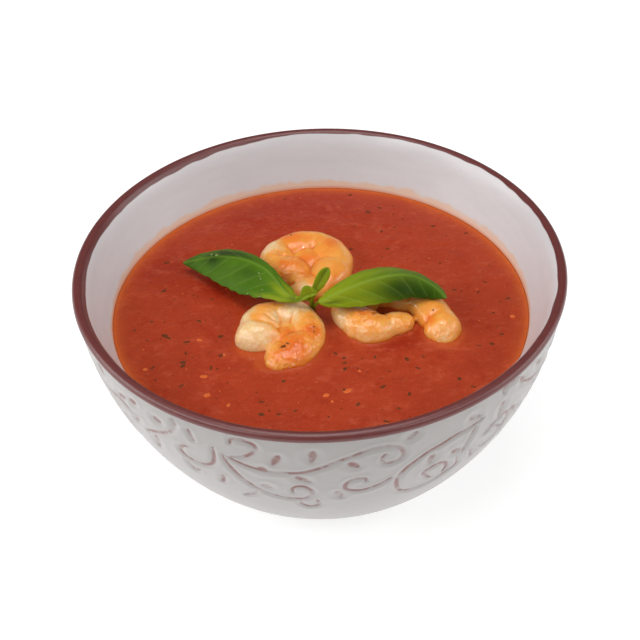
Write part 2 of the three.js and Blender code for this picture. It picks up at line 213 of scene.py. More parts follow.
def colour(red, green, blue):
    """A colour as a screen shows it, 0 to 255, as linear values."""
    def linear(c):
        c /= 255
        return c / 12.92 if c < 0.04045 else ((c + 0.055) / 1.055) ** 2.4
    return (linear(red), linear(green), linear(blue), 1.0)


def plug(finish, node, inputs):
    """Gives each input a plain value or the output of another node."""
    for socket, value in inputs.items():
        if isinstance(value, bpy.types.NodeSocket):
            finish.node_tree.links.new(value, node.inputs[socket])
        else:
            node.inputs[socket].default_value = value


def add(finish, kind, inputs=None, out=0, **settings):
    """Adds one shader node and returns one of its outputs."""
    node = finish.node_tree.nodes.new("ShaderNode" + kind)
    for setting, value in settings.items():
        setattr(node, setting, value)
    plug(finish, node, inputs or {})
    return node.outputs[out]


def dress(finish, **surface):
    """Sets or plugs sockets of the Principled shader. Underscores stand for spaces in their names."""
    shader = finish.node_tree.nodes["Principled BSDF"]
    plug(finish, shader, {socket.replace("_", " "): value for socket, value in surface.items()})


def new_finish(name, **surface):
    """A material whose Principled sockets have plain values."""
    finish = bpy.data.materials.new(name)
    finish.use_nodes = True
    dress(finish, **surface)
    return finish


# %% Sums and patterns in nodes


def mix(finish, share, first, second):
    """From the first colour to the second as share goes from 0 to 1."""
    return add(finish, "Mix", {0: share, 6: first, 7: second}, out=2, data_type="RGBA")


def fade(finish, value, low, high, start=0.0, end=1.0):
    """From start to end as value goes from low to high, smoothly."""
    return add(finish, "MapRange", {"Value": value, "From Min": low, "From Max": high,
                                    "To Min": start, "To Max": end},
               interpolation_type="SMOOTHSTEP")


def calc(finish, operation, first, second):
    return add(finish, "Math", {0: first, 1: second}, operation=operation)


def place(finish, stretch=(1, 1, 1)):
    """Where a point is, in millimetres, stretched if wanted."""
    spot = add(finish, "TexCoord", out=3)
    scale = [s / MM for s in stretch]
    return add(finish, "VectorMath", {0: spot, 1: scale}, operation="MULTIPLY")


def axis_of(finish, vector, axis):
    """One of a vector's three numbers: 0 is x, 1 is y and 2 is z."""
    return add(finish, "SeparateXYZ", {0: vector}, out=axis)


def clouds(finish, size, detail=2.0, stretch=(1, 1, 1), roughness=0.5):
    """Noise from 0 to 1 with patches of about the given size."""
    return add(finish, "TexNoise", {"Vector": place(finish, stretch), "Scale": 1 / size,
                                    "Detail": detail, "Roughness": roughness})


def mark(finish, name):
    """The numbers that make_piece stored on the points under this name."""
    return add(finish, "Attribute", attribute_name=name, out=2)


def bump(finish, height, depth, under=None):
    """A bump as deep as depth in millimetres, on top of another bump."""
    inputs = {"Height": height, "Distance": depth * MM, "Strength": 1.0}
    if under is not None:
        inputs["Normal"] = under
    return add(finish, "Bump", inputs)


# %% [markdown]
# ## The bowl's profile
#
# A bowl is thrown on a wheel, so its shape is one outline turned round an axis. The outline goes from
# under the foot, up the outside, over the rounded lip and down the inside. The two walls follow the
# formulas of the CAD source. Rows lie closest where the wall is carved, because a groove needs a few
# points across it to look smooth.

# %% Walls
BOWL_HEIGHT = 76.0
FOOT_RADIUS = 38.0
FOOT_HEIGHT = 2.5
FOOT_RECESS = 1.8
WALL_TOP_RADIUS = 79.2
INNER_FLOOR = 9.0
INNER_FLOOR_RADIUS = 34.0
INNER_TOP_RADIUS = 76.3
OUTER_BENDS = (1.7, 1.4)  # how the wall rounds off towards the rim and towards the foot
INNER_BENDS = (1.043, 1.5)


def wall_radius(z, low, low_radius, top_radius, bends):
    """Radius of a wall that rises from its low end to the height of the rim."""
    t = (np.asarray(z) - low) / (BOWL_HEIGHT - low)
    return low_radius + (top_radius - low_radius) * (1 - (1 - t) ** bends[0]) ** (1 / bends[1])


def outer_radius(z):
    return wall_radius(z, FOOT_HEIGHT, FOOT_RADIUS, WALL_TOP_RADIUS, OUTER_BENDS)


def inner_radius(z):
    return wall_radius(z, INNER_FLOOR, INNER_FLOOR_RADIUS, INNER_TOP_RADIUS, INNER_BENDS)


# %% Bowl outline
FOOT_PROFILE = [(24, FOOT_RECESS), (31.5, FOOT_RECESS), (32.6, 1.2), (33.4, 0.2), (33.8, 0),
                (36.9, 0), (37.6, 0.3), (37.9, 0.9), (37.95, 1.7)]
LOW_HEIGHTS = (2.55, 3, 3.8, 5, 6.6, 8.6, 11, 14, 17.5, 21, 24.5, 28)
CARVED_LOW, CARVED_HIGH = 31.0, 72.4  # heights between which the vine is carved
CARVED_ROWS = 84
LIP_RADIUS, LIP_HEIGHT = 78.15, 74.3  # middle of the rounded bead that ends the wall
LIP_HALF_WIDTH, LIP_HALF_HEIGHT = 1.85, 1.7
LIP_TURN = (-60, 150)  # degrees round the bead, from the outer wall over the top to the inner wall
LIP_ROWS = 16
INNER_HEIGHTS = (72.6, 70.5, 68, 65, 62, 59.5, 57.1, 53, 47, 39, 31, 24, 18, 13.5, 10.6, INNER_FLOOR)
FLOOR_RADII = (24, 12)


def wall_rows(radius, heights):
    """Rows of the outline on one of the two walls."""
    return [(float(radius(z)), z) for z in heights]


def bowl_outline():
    """Radius and height of each row, and the slice of rows that is carved."""
    low = wall_rows(outer_radius, LOW_HEIGHTS)
    carved = wall_rows(outer_radius, np.linspace(CARVED_LOW, CARVED_HIGH, CARVED_ROWS))
    lip = [(LIP_RADIUS + LIP_HALF_WIDTH * math.cos(a), LIP_HEIGHT + LIP_HALF_HEIGHT * math.sin(a))
           for a in np.radians(np.linspace(*LIP_TURN, LIP_ROWS))]
    inside = wall_rows(inner_radius, INNER_HEIGHTS) + [(r, INNER_FLOOR) for r in FLOOR_RADII]
    first = len(FOOT_PROFILE) + len(low)
    return np.array(FOOT_PROFILE + low + carved + lip + inside), slice(first, first + CARVED_ROWS)


outline, carved_rows = bowl_outline()
print("bowl outline of", len(outline), "rows, widest", round(outline[:, 0].max(), 2))

# %% [markdown]
# ## The carved vine
#
# The potter drew a flowing vine in the soft clay: long stems that end in curls, with small pointed
# leaves between them. Each line is a shallow groove with soft lips. The lines are given as a few
# points on the unrolled wall (degrees round the bowl from the front, height), and the stretch repeats
# three times round the bowl. A bump texture would be lighter, but real grooves also catch the light
# at the bowl's outline, so the mesh itself is pushed in along the lines.

# %% Vine drawing
VINE_TURN = 120  # degrees after which the drawing repeats
STEMS = [
    # the long wave along the top, from the left fork to its curl on the right
    [(-23.8, 61.8), (-21, 60), (-18.9, 58.6), (-15.6, 57.3), (-12.2, 56.7), (-8.9, 57), (-5, 57.9),
     (0, 61.2), (3.3, 63.9), (6.7, 66), (10, 67.6), (12.8, 67.8), (15.2, 67), (16.9, 65), (17.5, 62),
     (16.7, 59.8), (15, 58.9), (13.3, 59.2), (12.6, 60.8), (12.6, 62.6), (13.2, 63.9)],
    # the stem that sweeps down from the fork into the lower curl
    [(-23.8, 61.5), (-23.3, 58.6), (-22.5, 55.8), (-21.4, 52.6), (-20, 49.5), (-18.6, 47),
     (-16.7, 44.5), (-14.4, 42.3), (-11.7, 40.8), (-8.6, 40.2), (-6, 40.6), (-4.4, 42.4), (-3.5, 45),
     (-3.9, 47.3), (-5.3, 49.2), (-7.2, 49), (-8.3, 47.3), (-8.3, 45.1)],
    # the hook left of the fork
    [(-25.7, 64), (-26, 59.5), (-26.4, 57), (-27.2, 54.5), (-28.6, 52.6), (-30.6, 51.4), (-32.8, 51.4),
     (-34.8, 52.4), (-35.8, 55.1), (-35.3, 57), (-34.2, 58.6), (-33.1, 58.9)],
    # the small curl under the lip
    [(-21.6, 61.4), (-18.9, 62.6), (-17.2, 64.2), (-15.8, 66.4), (-15.2, 68.4), (-16.2, 70.2),
     (-18.9, 71), (-20.7, 70.4), (-21.2, 68.4)],
    # the long shoot on the left and the two tendrils beside it
    [(-46.4, 55.2), (-43.3, 57.6), (-40.6, 59.8), (-38.1, 62), (-36, 65.1), (-35, 68.4), (-35.4, 70.6)],
    [(-31.3, 69), (-31.1, 66.6), (-30.6, 63.9)],
    [(-35.3, 49.9), (-35.1, 47), (-34.2, 44.5), (-32.6, 46)],
    [(-25.6, 48.3), (-25.9, 46), (-26.6, 43.3)],
    # the twig under the fork's stem
    [(-17.6, 43), (-18.6, 40.4), (-19.7, 38.9), (-21.7, 37)],
    [(-6.6, 38.8), (-6.5, 36.2), (-4.7, 33.9), (-2.5, 35.2), (-2.1, 37.4), (-2.6, 39.6)],
    # the curl in the middle that lies on its side
    [(9.4, 50.4), (8.9, 52.3), (6.9, 52.8), (5.3, 51.7), (4.4, 49.5), (4.7, 46.7), (6.7, 45.1),
     (8.9, 44.8), (11.7, 46.1), (13.9, 47.9), (15.4, 49.6)],
    # the great curl on the right
    [(38, 63.6), (35.6, 62.5), (33.3, 62.3), (30.6, 62), (27.2, 60.4), (23.9, 58.9), (21.1, 56.1),
     (18.9, 53.3), (17.5, 49.8), (17.1, 47), (17.5, 43.3), (18.3, 40.1), (19.8, 37.3), (23, 35.8),
     (27.5, 36.2), (31.5, 38.3), (34.8, 41.4), (34.4, 44.5), (33.5, 47.8)],
    [(26.9, 41), (25.3, 43.3), (24.3, 46.4), (25.6, 47.9), (27.8, 48.9), (29.7, 47.9), (30.8, 45.8),
     (31.2, 43.3), (30.7, 40.9)],
    [(36.6, 60.8), (35.6, 56.4), (35.1, 53.3), (34.7, 49.8)],
    [(38, 47.4), (39, 44.6), (39.8, 41.8)],
    # the curl at the right end of the stretch
    [(41.2, 52.6), (42.8, 54.8), (44.4, 56.3), (47, 57), (48.6, 55.1), (49.4, 52), (48.6, 47.5),
     (46, 44), (43, 43.6), (41, 46)],
    [(44.2, 53.2), (45.8, 51.6), (47.4, 50)],
    [(44.2, 69), (43.8, 71), (46, 71.8), (49, 71.2)],
    # the shoots that join one stretch to the next
    [(52.4, 66), (56.5, 62.4), (61, 61), (66, 61.6), (70.6, 60)],
    [(55, 50.6), (58.6, 47), (63, 45.8), (66, 48), (65, 51.4), (61.8, 51)],
]
LEAVES_OF_VINE = [  # from the stalk to the point of each small leaf
    [(-10.3, 66), (-12.1, 60.4)], [(-2.6, 68.8), (-3.3, 62.9)], [(-7, 55.2), (-3.3, 52)],
    [(-15.3, 47.4), (-13.3, 46.8)], [(-15.2, 57.9), (-13.6, 57.7)], [(-43.5, 55.2), (-45.1, 47.1)],
    [(-41.2, 66.3), (-39.4, 65.7)], [(-53.8, 64.4), (-51.2, 66.2)], [(-49, 67), (-47, 67.7)],
    [(-48, 60.8), (-50.2, 56)], [(5, 62.2), (7.5, 59.2)], [(18.1, 69), (20.5, 71.2)],
    [(2.5, 45.6), (3.5, 40.4)], [(33.9, 67.6), (37.2, 65.4)], [(25.3, 56.6), (25, 51.2)],
    [(31.2, 52.8), (33.8, 51.2)], [(44.8, 64.6), (44.3, 58.8)], [(49.8, 56.3), (52.3, 53.2)],
    [(50.4, 69.4), (52, 66)], [(60, 56.6), (62.6, 54)], [(57.4, 69), (60, 66.4)],
    [(56, 40.6), (58, 36.6)],
]

# %% Strokes of the vine
STEM_HALF_WIDTH = 0.85
LEAF_HALF_WIDTH = 1.4
POINTS_PER_ROW = 10
POINTS_PER_LEAF = 24


def vine_strokes():
    """Every stroke as unrolled points with a half width at each."""
    for line in STEMS:
        u = np.linspace(0, 1, POINTS_PER_ROW * len(line))
        taper = 0.45 + 0.55 * np.minimum(1, 5 * np.minimum(u, 1 - u) + 0.25)
        yield spline(line, u), STEM_HALF_WIDTH * taper
    for leaf in LEAVES_OF_VINE:
        u = np.linspace(0, 1, POINTS_PER_LEAF)
        yield spline(leaf, u), LEAF_HALF_WIDTH * np.sin(np.pi * u**0.7) ** 0.8 + 0.08


# %% Distance to the strokes
STROKE_REACH = 5  # how many half widths away a stroke is still felt
FAR_AWAY = 9.0


def carve_distance(angles, heights, radii):
    """Distance from each point of the wall to the nearest stroke, as a share of its half width."""
    distance = np.full((len(heights), len(angles)), FAR_AWAY)
    step = np.hypot(np.diff(heights), np.diff(radii)).mean()
    slope = step / np.diff(heights).mean()
    for points, halves in vine_strokes():
        for turn in range(0, 360, VINE_TURN):
            for (degrees, z), half in zip(points, halves):
                row = int(np.searchsorted(heights, z))
                if not 0 < row < len(heights):
                    continue
                span = radii[row] * np.radians(1)
                across = (angles - degrees - turn + 180) % 360 - 180
                near = np.flatnonzero(np.abs(across * span) < STROKE_REACH * half)
                rows_away = int(STROKE_REACH * half / step)
                rows = slice(max(0, row - rows_away - 1), row + rows_away + 2)
                up = (heights[rows][:, None] - z) * slope
                away = np.hypot(across[near][None, :] * span, up) / half
                cells = np.ix_(np.arange(len(heights))[rows], near)
                distance[cells] = np.minimum(distance[cells], away)
    return distance


# %% Section of a groove
GROOVE_DEPTH = 0.3
VALLEY_DEPTH, VALLEY_WIDTH = 0.22, 1.7  # of the soft hollow that the groove lies in
BURR_RISE, BURR_PLACE, BURR_WIDTH = 0.2, 2.7, 0.8  # of the clay pushed up beside a groove


def groove_section(away):
    """How far the wall stands out, and how far in a groove it is, by the distance in half widths."""
    groove = np.exp(-1.2 * away**2)
    valley = np.exp(-(away / VALLEY_WIDTH) ** 2)
    burr = np.exp(-((away - BURR_PLACE) / BURR_WIDTH) ** 2)
    return BURR_RISE * burr - GROOVE_DEPTH * groove - VALLEY_DEPTH * valley, groove


# %% [markdown]
# ## The bowl's glaze
#
# The clay is covered with a milky white glaze. It is glossy, so it gets a coat, and slightly uneven in
# colour. A brown wash was wiped over the relief: it stays in the grooves and wears off in patches, so the
# mark that the carving left on the mesh is multiplied by noise. The rim is painted a dull plum brown,
# with an edge that wobbles as a brush does. Inside, a thin film of soup dried on the far wall.

# %% White glaze and brown wash


def white_glaze(glaze):
    """Greyer outside for painted shade, paler inside for painted light, with a few darker specks."""
    # painted shade and light: the same glaze is greyer on the shaded outer wall and paler on the lit
    # inner wall
    outside = mix(glaze, clouds(glaze, 22, 3), colour(168, 164, 162), colour(159, 154, 152))
    within = mix(glaze, clouds(glaze, 16, 3, (1, 1, 5)), colour(210, 208, 209), colour(198, 195, 197))
    body = mix(glaze, mark(glaze, "inside"), outside, within)
    specks = fade(glaze, clouds(glaze, 1.1, 2), 0.7, 0.78, 0, 0.25)
    return mix(glaze, specks, body, colour(170, 158, 150))


def wash_in_grooves(glaze, body):
    """Brown in the grooves, with a pinkish haze beside them, both worn off in patches."""
    patches = fade(glaze, clouds(glaze, 5.5, 3, roughness=0.6), 0.38, 0.6, 0.15, 0.95)
    groove = fade(glaze, mark(glaze, "groove"), 0.2, 0.8)
    body = mix(glaze, calc(glaze, "MULTIPLY", patches, groove), body, colour(118, 66, 58))
    haze = fade(glaze, mark(glaze, "groove"), 0.0, 0.6, 0, 0.22)
    return mix(glaze, calc(glaze, "MULTIPLY", patches, haze), body, colour(150, 112, 106))


# %% Film of soup and painted rim
SOUP_LEVEL = 57.1
RIM_PAINT_LOW = 73.4  # height of the painted band's lower edge outside
RIM_PAINT_INSIDE = 76.75  # radius of its edge inside


def film_of_soup(glaze, body, spot):
    """What the soup left on the wall just above its level, deeper in colour near the soup."""
    top = fade(glaze, clouds(glaze, 10, 5, roughness=0.6), 0.25, 0.75, 1.6, 3.4)
    top = calc(glaze, "MULTIPLY", top, fade(glaze, axis_of(glaze, spot, 1), -45, 50, 0.35, 1.15))
    over_soup = calc(glaze, "SUBTRACT", axis_of(glaze, spot, 2), SOUP_LEVEL)
    film = fade(glaze, calc(glaze, "SUBTRACT", over_soup, top), -1.0, 0.5, 0.75, 0.0)
    tint = mix(glaze, fade(glaze, over_soup, 0.2, 1.5), colour(206, 112, 48), colour(214, 176, 146))
    return mix(glaze, calc(glaze, "MULTIPLY", film, mark(glaze, "inside")), body, tint)


def painted_rim(glaze, body, spot):
    """A plum brown band over the lip. It reaches further in on the left, where the brush dwelt."""
    flat = add(glaze, "VectorMath", {0: spot, 1: (1, 1, 0)}, operation="MULTIPLY")
    radius = add(glaze, "VectorMath", {0: flat}, out=1, operation="LENGTH")
    wobble = calc(glaze, "SUBTRACT", clouds(glaze, 11, 1), 0.5)
    height = calc(glaze, "ADD", axis_of(glaze, spot, 2), calc(glaze, "MULTIPLY", wobble, 0.9))
    over = fade(glaze, height, RIM_PAINT_LOW - 0.15, RIM_PAINT_LOW + 0.15)
    inwards = calc(glaze, "ADD", radius, calc(glaze, "MULTIPLY", wobble, 1.1))
    inwards = calc(glaze, "ADD", inwards, fade(glaze, axis_of(glaze, spot, 0), -70, 20, 1.0, 0.0))
    beyond = fade(glaze, inwards, RIM_PAINT_INSIDE - 0.12, RIM_PAINT_INSIDE + 0.12)
    plum = mix(glaze, clouds(glaze, 4, 4), colour(88, 32, 30), colour(106, 46, 43))
    return mix(glaze, calc(glaze, "MULTIPLY", over, beyond), body, plum)


# %% Glaze


def glaze_finish():
    glaze = new_finish("white_glaze", Roughness=0.42, IOR=1.5, Coat_Weight=0.35, Coat_Roughness=0.22)
    spot = place(glaze)
    body = wash_in_grooves(glaze, white_glaze(glaze))
    body = film_of_soup(glaze, body, spot)
    body = painted_rim(glaze, body, spot)
    dress(glaze, Base_Color=body, Normal=bump(glaze, clouds(glaze, 6, 3), 0.12))
    return glaze


# %% [markdown]
# ## Turning the bowl
#
# The real bowl is turned, then carved. The mesh is made in the same order: the outline goes round the
# axis, which gives the wall its points, and each point of the carved band then moves straight in or out
# by the section of the groove. The same section is stored on the points as a mark, so that the brown
# wash of the glaze lies exactly where the mesh is carved.

# %% Turn the bowl
BOWL_STEPS = 700


def turned(outline_rows, steps):
    """A closed form from an outline turned round Z."""
    angles = np.radians(np.arange(steps) * 360 / steps)
    radii, heights = outline_rows[:, 0][:, None], outline_rows[:, 1][:, None]
    sideways = radii * np.sin(angles), -radii * np.cos(angles)
    grid = np.stack(np.broadcast_arrays(*sideways, heights), -1)
    return closed_form(grid, [[0, 0, outline_rows[0, 1]], [0, 0, outline_rows[-1, 1]]])


def make_bowl():
    angles = np.arange(BOWL_STEPS) * 360 / BOWL_STEPS
    angles = np.where(angles > 180, angles - 360, angles)
    wall = outline[carved_rows]
    push, groove = groove_section(carve_distance(angles, wall[:, 1], wall[:, 0]))
    points, faces = turned(outline, BOWL_STEPS)
    grid = points[:-2].reshape(len(outline), BOWL_STEPS, 3)
    sideways = np.stack([np.sin(np.radians(angles)), -np.cos(np.radians(angles))], -1)
    grid[carved_rows, :, :2] += push[..., None] * sideways
    carved = np.zeros((len(outline), BOWL_STEPS))
    carved[carved_rows] = groove
    inside = np.zeros((len(outline), BOWL_STEPS))
    inside[outline[:, 1].argmax():] = 1
    marks = {"groove": np.append(carved.ravel(), [0, 0]), "inside": np.append(inside.ravel(), [0, 1])}
    return make_piece("stoneware_bowl", points, faces, glaze_finish(), marks)


bowl = make_bowl()
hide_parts("bowl")

# %% [markdown]
# ## The garnish's forms
#
# The soup needs to know where the shrimps and the stem stand in it, so their body lines come first.
# A row is x, y, the height over the soup and the half width there, as in the CAD source. A spline runs
# through the rows, and the body is a tube round it that swells a little with each of six segments.
# Flatness is half height to half width, outside is the side of the line on the outside of the curl
# (left 1, right -1), and belly is how much further the body reaches on the other side. Lumps are balls
# of flesh that close the curl: x, y, height over the soup and the half sizes along x, y and z.

# %% Shrimp lines
SHRIMPS = {
    "shrimp_front": {
        "flatness": 0.84, "outside": 1, "belly": 1.22,
        "lumps": [(-11.8, -13.6, 0.3, 6.6, 6.8, 3.5)],
        "line": [(-20.6, -20.0, 0.6, 5.8), (-21.0, -14.0, 1.4, 6.7), (-19.6, -7.4, 1.8, 6.2),
                 (-14.0, -3.4, 1.9, 5.2), (-7.4, -4.0, 1.7, 4.9), (-3.8, -9.8, 1.2, 4.8),
                 (-4.8, -16.8, 0.6, 5.4), (-9.6, -22.0, 0.1, 6.0), (-15.2, -24.2, -0.4, 5.2),
                 (-19.0, -25.0, -1.0, 3.4)]},
    "shrimp_back": {
        "flatness": 0.86, "outside": 1, "belly": 1.12,
        "lumps": [(-3.4, 24.0, 1.4, 7.6, 6.8, 4.2), (-4.6, 13.6, 0.6, 6.4, 4.6, 3.6)],
        "line": [(-3.0, 17.4, 3.0, 4.6), (-9.2, 17.4, 3.0, 5.6), (-14.4, 21.6, 2.2, 5.6),
                 (-12.6, 28.6, 1.8, 5.8), (-6.2, 32.2, 1.6, 6.0), (1.0, 30.6, 1.4, 6.4),
                 (4.6, 24.4, 1.2, 6.6), (4.2, 16.8, 1.2, 6.5), (0.0, 10.8, 1.0, 5.6),
                 (-6.4, 9.4, 0.8, 4.4), (-10.4, 10.6, 0.4, 3.0)]},
    "shrimp_right": {
        "flatness": 0.86, "outside": -1, "belly": 1,
        "lumps": [(16.8, -7.0, 0.8, 3.6, 2.8, 3.4)],
        "line": [(41.2, -19.0, -0.6, 4.8), (39.6, -13.0, 0.6, 6.0), (37.6, -7.0, 1.2, 6.0),
                 (33.6, -0.6, 1.4, 5.4), (27.0, 3.6, 1.2, 5.0), (19.6, 5.0, 1.0, 5.0),
                 (12.6, 2.0, 1.0, 5.8), (9.8, -4.0, 1.0, 6.2), (15.8, -11.0, 0.8, 6.4),
                 (22.0, -10.2, 1.0, 5.0), (26.6, -9.0, 1.3, 4.0), (30.8, -7.4, 1.4, 3.0)]},
}

# %% Width of a body
SEGMENTS = 6
LOBE = 0.1  # how far a segment swells, as a share of the half width
CAP = 0.09  # share of the length that rounds off at each end
SHORE_STEPS = 160


def body_halves(rows, u, shift=0.0):
    """The half width with its rounded ends and its segments, which may be shifted along the body."""
    short = np.maximum(0, 1 - np.minimum(u, 1 - u) / CAP)
    lobes = np.abs(np.sin(np.pi * SEGMENTS * (u + shift)))
    halves = spline(rows, u)[..., 3] * np.sqrt(np.maximum(0, 1 - short**2))
    return halves * (1 + LOBE * (lobes - 0.5)), lobes


def shore_distance(x, y):
    """How far each point of the surface is from the nearest shrimp, below 0 inside it."""
    nearest = np.full(x.shape, 2 * BOWL_HEIGHT)
    u = np.linspace(0, 1, SHORE_STEPS)
    for shrimp in SHRIMPS.values():
        centres = spline(shrimp["line"], u)
        halves, _ = body_halves(shrimp["line"], u)
        sunk = np.clip(centres[:, 2] / np.maximum(halves * shrimp["flatness"], 0.01), -0.95, 0.95)
        for (cx, cy), half in zip(centres[:, :2], halves * np.sqrt(1 - sunk**2)):
            np.minimum(nearest, np.hypot(x - cx, y - cy) - half, out=nearest)
    return nearest


# %% [markdown]
# ## The soup
#
# Gazpacho is a cold puree of tomato, pepper and oil. Seen close, its colour is a deep red, and most of
# the paler tomato red comes from the white room mirrored in the wet surface. So the base colour is
# chosen darker than the soup looks, and several sizes of noise are laid over each other: slow clouds,
# deeper red patches of painted reflection, a pale haze of painted sheen, pulp and a few light grains.
# Near the wall, where the layer is thin, the light wall shines through and the soup turns orange.

# %% Soup finish


def soup_finish():
    soup = new_finish("tomato_soup", Roughness=0.3, IOR=1.38, Specular_IOR_Level=0.35,
                      Subsurface_Weight=0.25, Subsurface_Radius=(1.0, 0.25, 0.1),
                      Subsurface_Scale=1.6 * MM)
    slow = clouds(soup, 13, 4, (1, 1.3, 1), 0.6)
    plain = mix(soup, slow, colour(150, 46, 22), colour(176, 64, 32))
    # painted reflection: deeper red patches where the surface is painted as mirroring less of the white
    # room
    wet = fade(soup, clouds(soup, 8, 4, (1.2, 1, 1), 0.6), 0.54, 0.68, 0, 0.45)
    plain = mix(soup, wet, plain, colour(148, 38, 12))
    # painted reflection: deep red in patches where the soup mirrors things darker than the white room
    plain = mix(soup, mark(soup, "wet"), plain, colour(142, 30, 8))
    # painted sheen: a pale pinkish haze for the white room mirrored in the wet surface
    haze = fade(soup, clouds(soup, 5, 5, (1, 1.3, 1), 0.65), 0.5, 0.72, 0, 0.45)
    plain = mix(soup, haze, plain, colour(190, 86, 58))
    pulp = fade(soup, clouds(soup, 1.4, 3, roughness=0.65), 0.54, 0.74, 0, 0.4)
    plain = mix(soup, pulp, plain, colour(194, 82, 46))
    grains = fade(soup, clouds(soup, 0.8, 1), 0.72, 0.8, 0, 0.3)
    plain = mix(soup, grains, plain, colour(212, 118, 74))
    plain = mix(soup, mark(soup, "shallow"), plain, colour(204, 100, 40))
    swirl = bump(soup, clouds(soup, 6, 4, (1, 1.4, 1), 0.55), 0.45)
    grain = bump(soup, clouds(soup, 1.5, 3, roughness=0.6), 0.12, swirl)
    dress(soup, Base_Color=plain, Normal=grain)
    return soup


# %% [markdown]
# ## The surface of the soup
#
# Thick soup is nearly level, but not quite: it climbs a little where it wets the wall and the shrimps,
# and the ladle leaves slow swells. A flat disc with a bump texture would look right from above, but
# the light line where soup meets bowl needs real geometry. The surface is a grid of rings, which are
# closest together near the wall, and it goes on down the wall to the floor of the bowl as a closed body.

# %% Patches of painted reflection
PAINTED_REFLECTION_PATCHES = [  # x, y, radius and strength of patches of painted dark reflection
    (26.0, -15.5, 6.5, 0.8), (19.0, -19.0, 4.5, 0.7), (-37.0, 15.5, 6.0, 0.6), (-31.0, 11.5, 6.0, 0.6),
    (-16.0, -29.5, 4.0, 0.3), (-24.0, 52.0, 17.0, 0.55), (2.0, 58.0, 16.0, 0.5), (-52.0, 26.0, 12.0, 0.5),
    (28.0, 54.0, 12.0, 0.3)]
PAINTED_REFLECTION_SEED = 4.4


def patchwork(points, patches, seed):
    """The sum of soft round patches, with wobbly edges, at each point."""
    shaken = points[:, :2] + 0.9 * np.stack([rough(points, 3.0, seed), rough(points, 3.0, seed + 9)], -1)
    total = np.zeros(len(points))
    for x, y, radius, share in patches:
        total += share * np.exp(-((shaken[:, 0] - x) ** 2 + (shaken[:, 1] - y) ** 2) / radius**2)
    return total


# %% Soup surface
SOUP_RADIUS = float(inner_radius(SOUP_LEVEL)) + 0.12  # just into the wall, so that no gap shows
CLIMB, CLIMB_WIDTH = 0.3, 0.7  # how far the soup climbs the wall, and how soon that dies away
SHORE_CLIMB, SHORE_WIDTH = 0.45, 0.8  # the same beside a shrimp
CALM_WIDTH = 4  # of the ring at the wall where the swells die away


def soup_top(x, y):
    """Height of the surface over the soup level, and how shallow it looks there."""
    to_wall = np.maximum(0, SOUP_RADIUS - np.hypot(x, y))
    to_shore = np.maximum(shore_distance(x, y), 0)
    flat = np.stack([x, y, 0 * x], -1).reshape(-1, 3)
    swell = 0.16 * rough(flat * (1, 1.7, 1), 15, 3.1) + 0.05 * rough(flat, 4.5, 7.7)
    calm = smoothstep(0, CALM_WIDTH, to_wall)
    climb = CLIMB * np.exp(-to_wall / CLIMB_WIDTH) + SHORE_CLIMB * np.exp(-to_shore / SHORE_WIDTH)
    ring = 1.0 + 0.35 * rough(flat, 9, 1.3).reshape(x.shape)
    shallow = 0.95 * np.exp(-to_wall / (1.6 * ring)) + 0.35 * np.exp(-to_shore / (1.2 * ring))
    return swell.reshape(x.shape) * calm + climb, np.clip(shallow, 0, 1)


# %% Soup body
SOUP_STEPS = 480
SOUP_ROWS = 110
WALL_GAP = 0.27  # between the soup and the wall below the surface
SOUP_SIDE = np.array([INNER_FLOOR + 0.3, 9.6, 10.5, 12.6, 15, 18, 22, 26, 31, 36, 42, 47, 52, 55])


def make_soup():
    angles = np.radians(np.arange(SOUP_STEPS) * 360 / SOUP_STEPS)
    radii = SOUP_RADIUS * np.linspace(1, 0, SOUP_ROWS + 1)[:-1, None] ** 0.92
    x, y = radii * np.sin(angles), -radii * np.cos(angles)
    rise, shallow = soup_top(x, y)
    beside = inner_radius(SOUP_SIDE) - WALL_GAP
    beside[0] = INNER_FLOOR_RADIUS - 1
    side_x, side_y = beside[:, None] * np.sin(angles), -beside[:, None] * np.cos(angles)
    side_z = np.broadcast_to(SOUP_SIDE[:, None], side_x.shape)
    side = np.stack([side_x, side_y, side_z], -1)
    grid = np.concatenate([side, np.stack([x, y, SOUP_LEVEL + rise], -1)])
    points, faces = closed_form(grid, [[0, 0, SOUP_SIDE[0]], [0, 0, SOUP_LEVEL + rise[-1].mean()]])
    shallow = np.concatenate([np.ones(side_x.shape), shallow]).ravel()
    # the mark named wet holds the patches of painted reflection
    marks = {"shallow": np.append(shallow, [0, 0]), "wet": patchwork(points, PAINTED_REFLECTION_PATCHES, PAINTED_REFLECTION_SEED)}
    return make_piece("gazpacho", points, faces, soup_finish(), marks)


soup = make_soup()
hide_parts("soup")

# %% [markdown]
# ## Herb flecks and bits of vegetable
#
# Chopped herbs float in the soup as small dark flakes, with here and there a crumb of tomato or
# pepper. They are scattered by the rule of the CAD source: on a sunflower spiral that a repeatable
# number shakes out of its pattern. The largest ones, which a viewer would miss, are placed one by one.
# All the flakes of one kind are one joined mesh, which exports and renders faster than a thousand
# objects.

# %% Scatter rule
FLECK_REACH = 64.0
STEM_FOOT = (-2.2, 1.8)
FLECK_CLEARANCE = 1.6
GOLDEN_ANGLE = math.pi * (3 - math.sqrt(5))


def scatter(k, use):
    """A repeatable number from 0 to 1 for each whole number k and each use."""
    wide = math.sin(k * 12.9898 + use * 78.233) * 43758.5453
    return wide - math.floor(wide)


def clear_of_garnish(x, y):
    """Whether a flake there would lie clear of the shrimps and the stem."""
    if math.hypot(x - STEM_FOOT[0], y - STEM_FOOT[1]) < 2 * FLECK_CLEARANCE:
        return False
    for shrimp in SHRIMPS.values():
        rows = spline(shrimp["line"], np.linspace(0, 1, 61))
        reach = 1.1 * rows[:, 3] + FLECK_CLEARANCE
        if (np.hypot(x - rows[:, 0], y - rows[:, 1]) < reach).any():
            return False
    return True


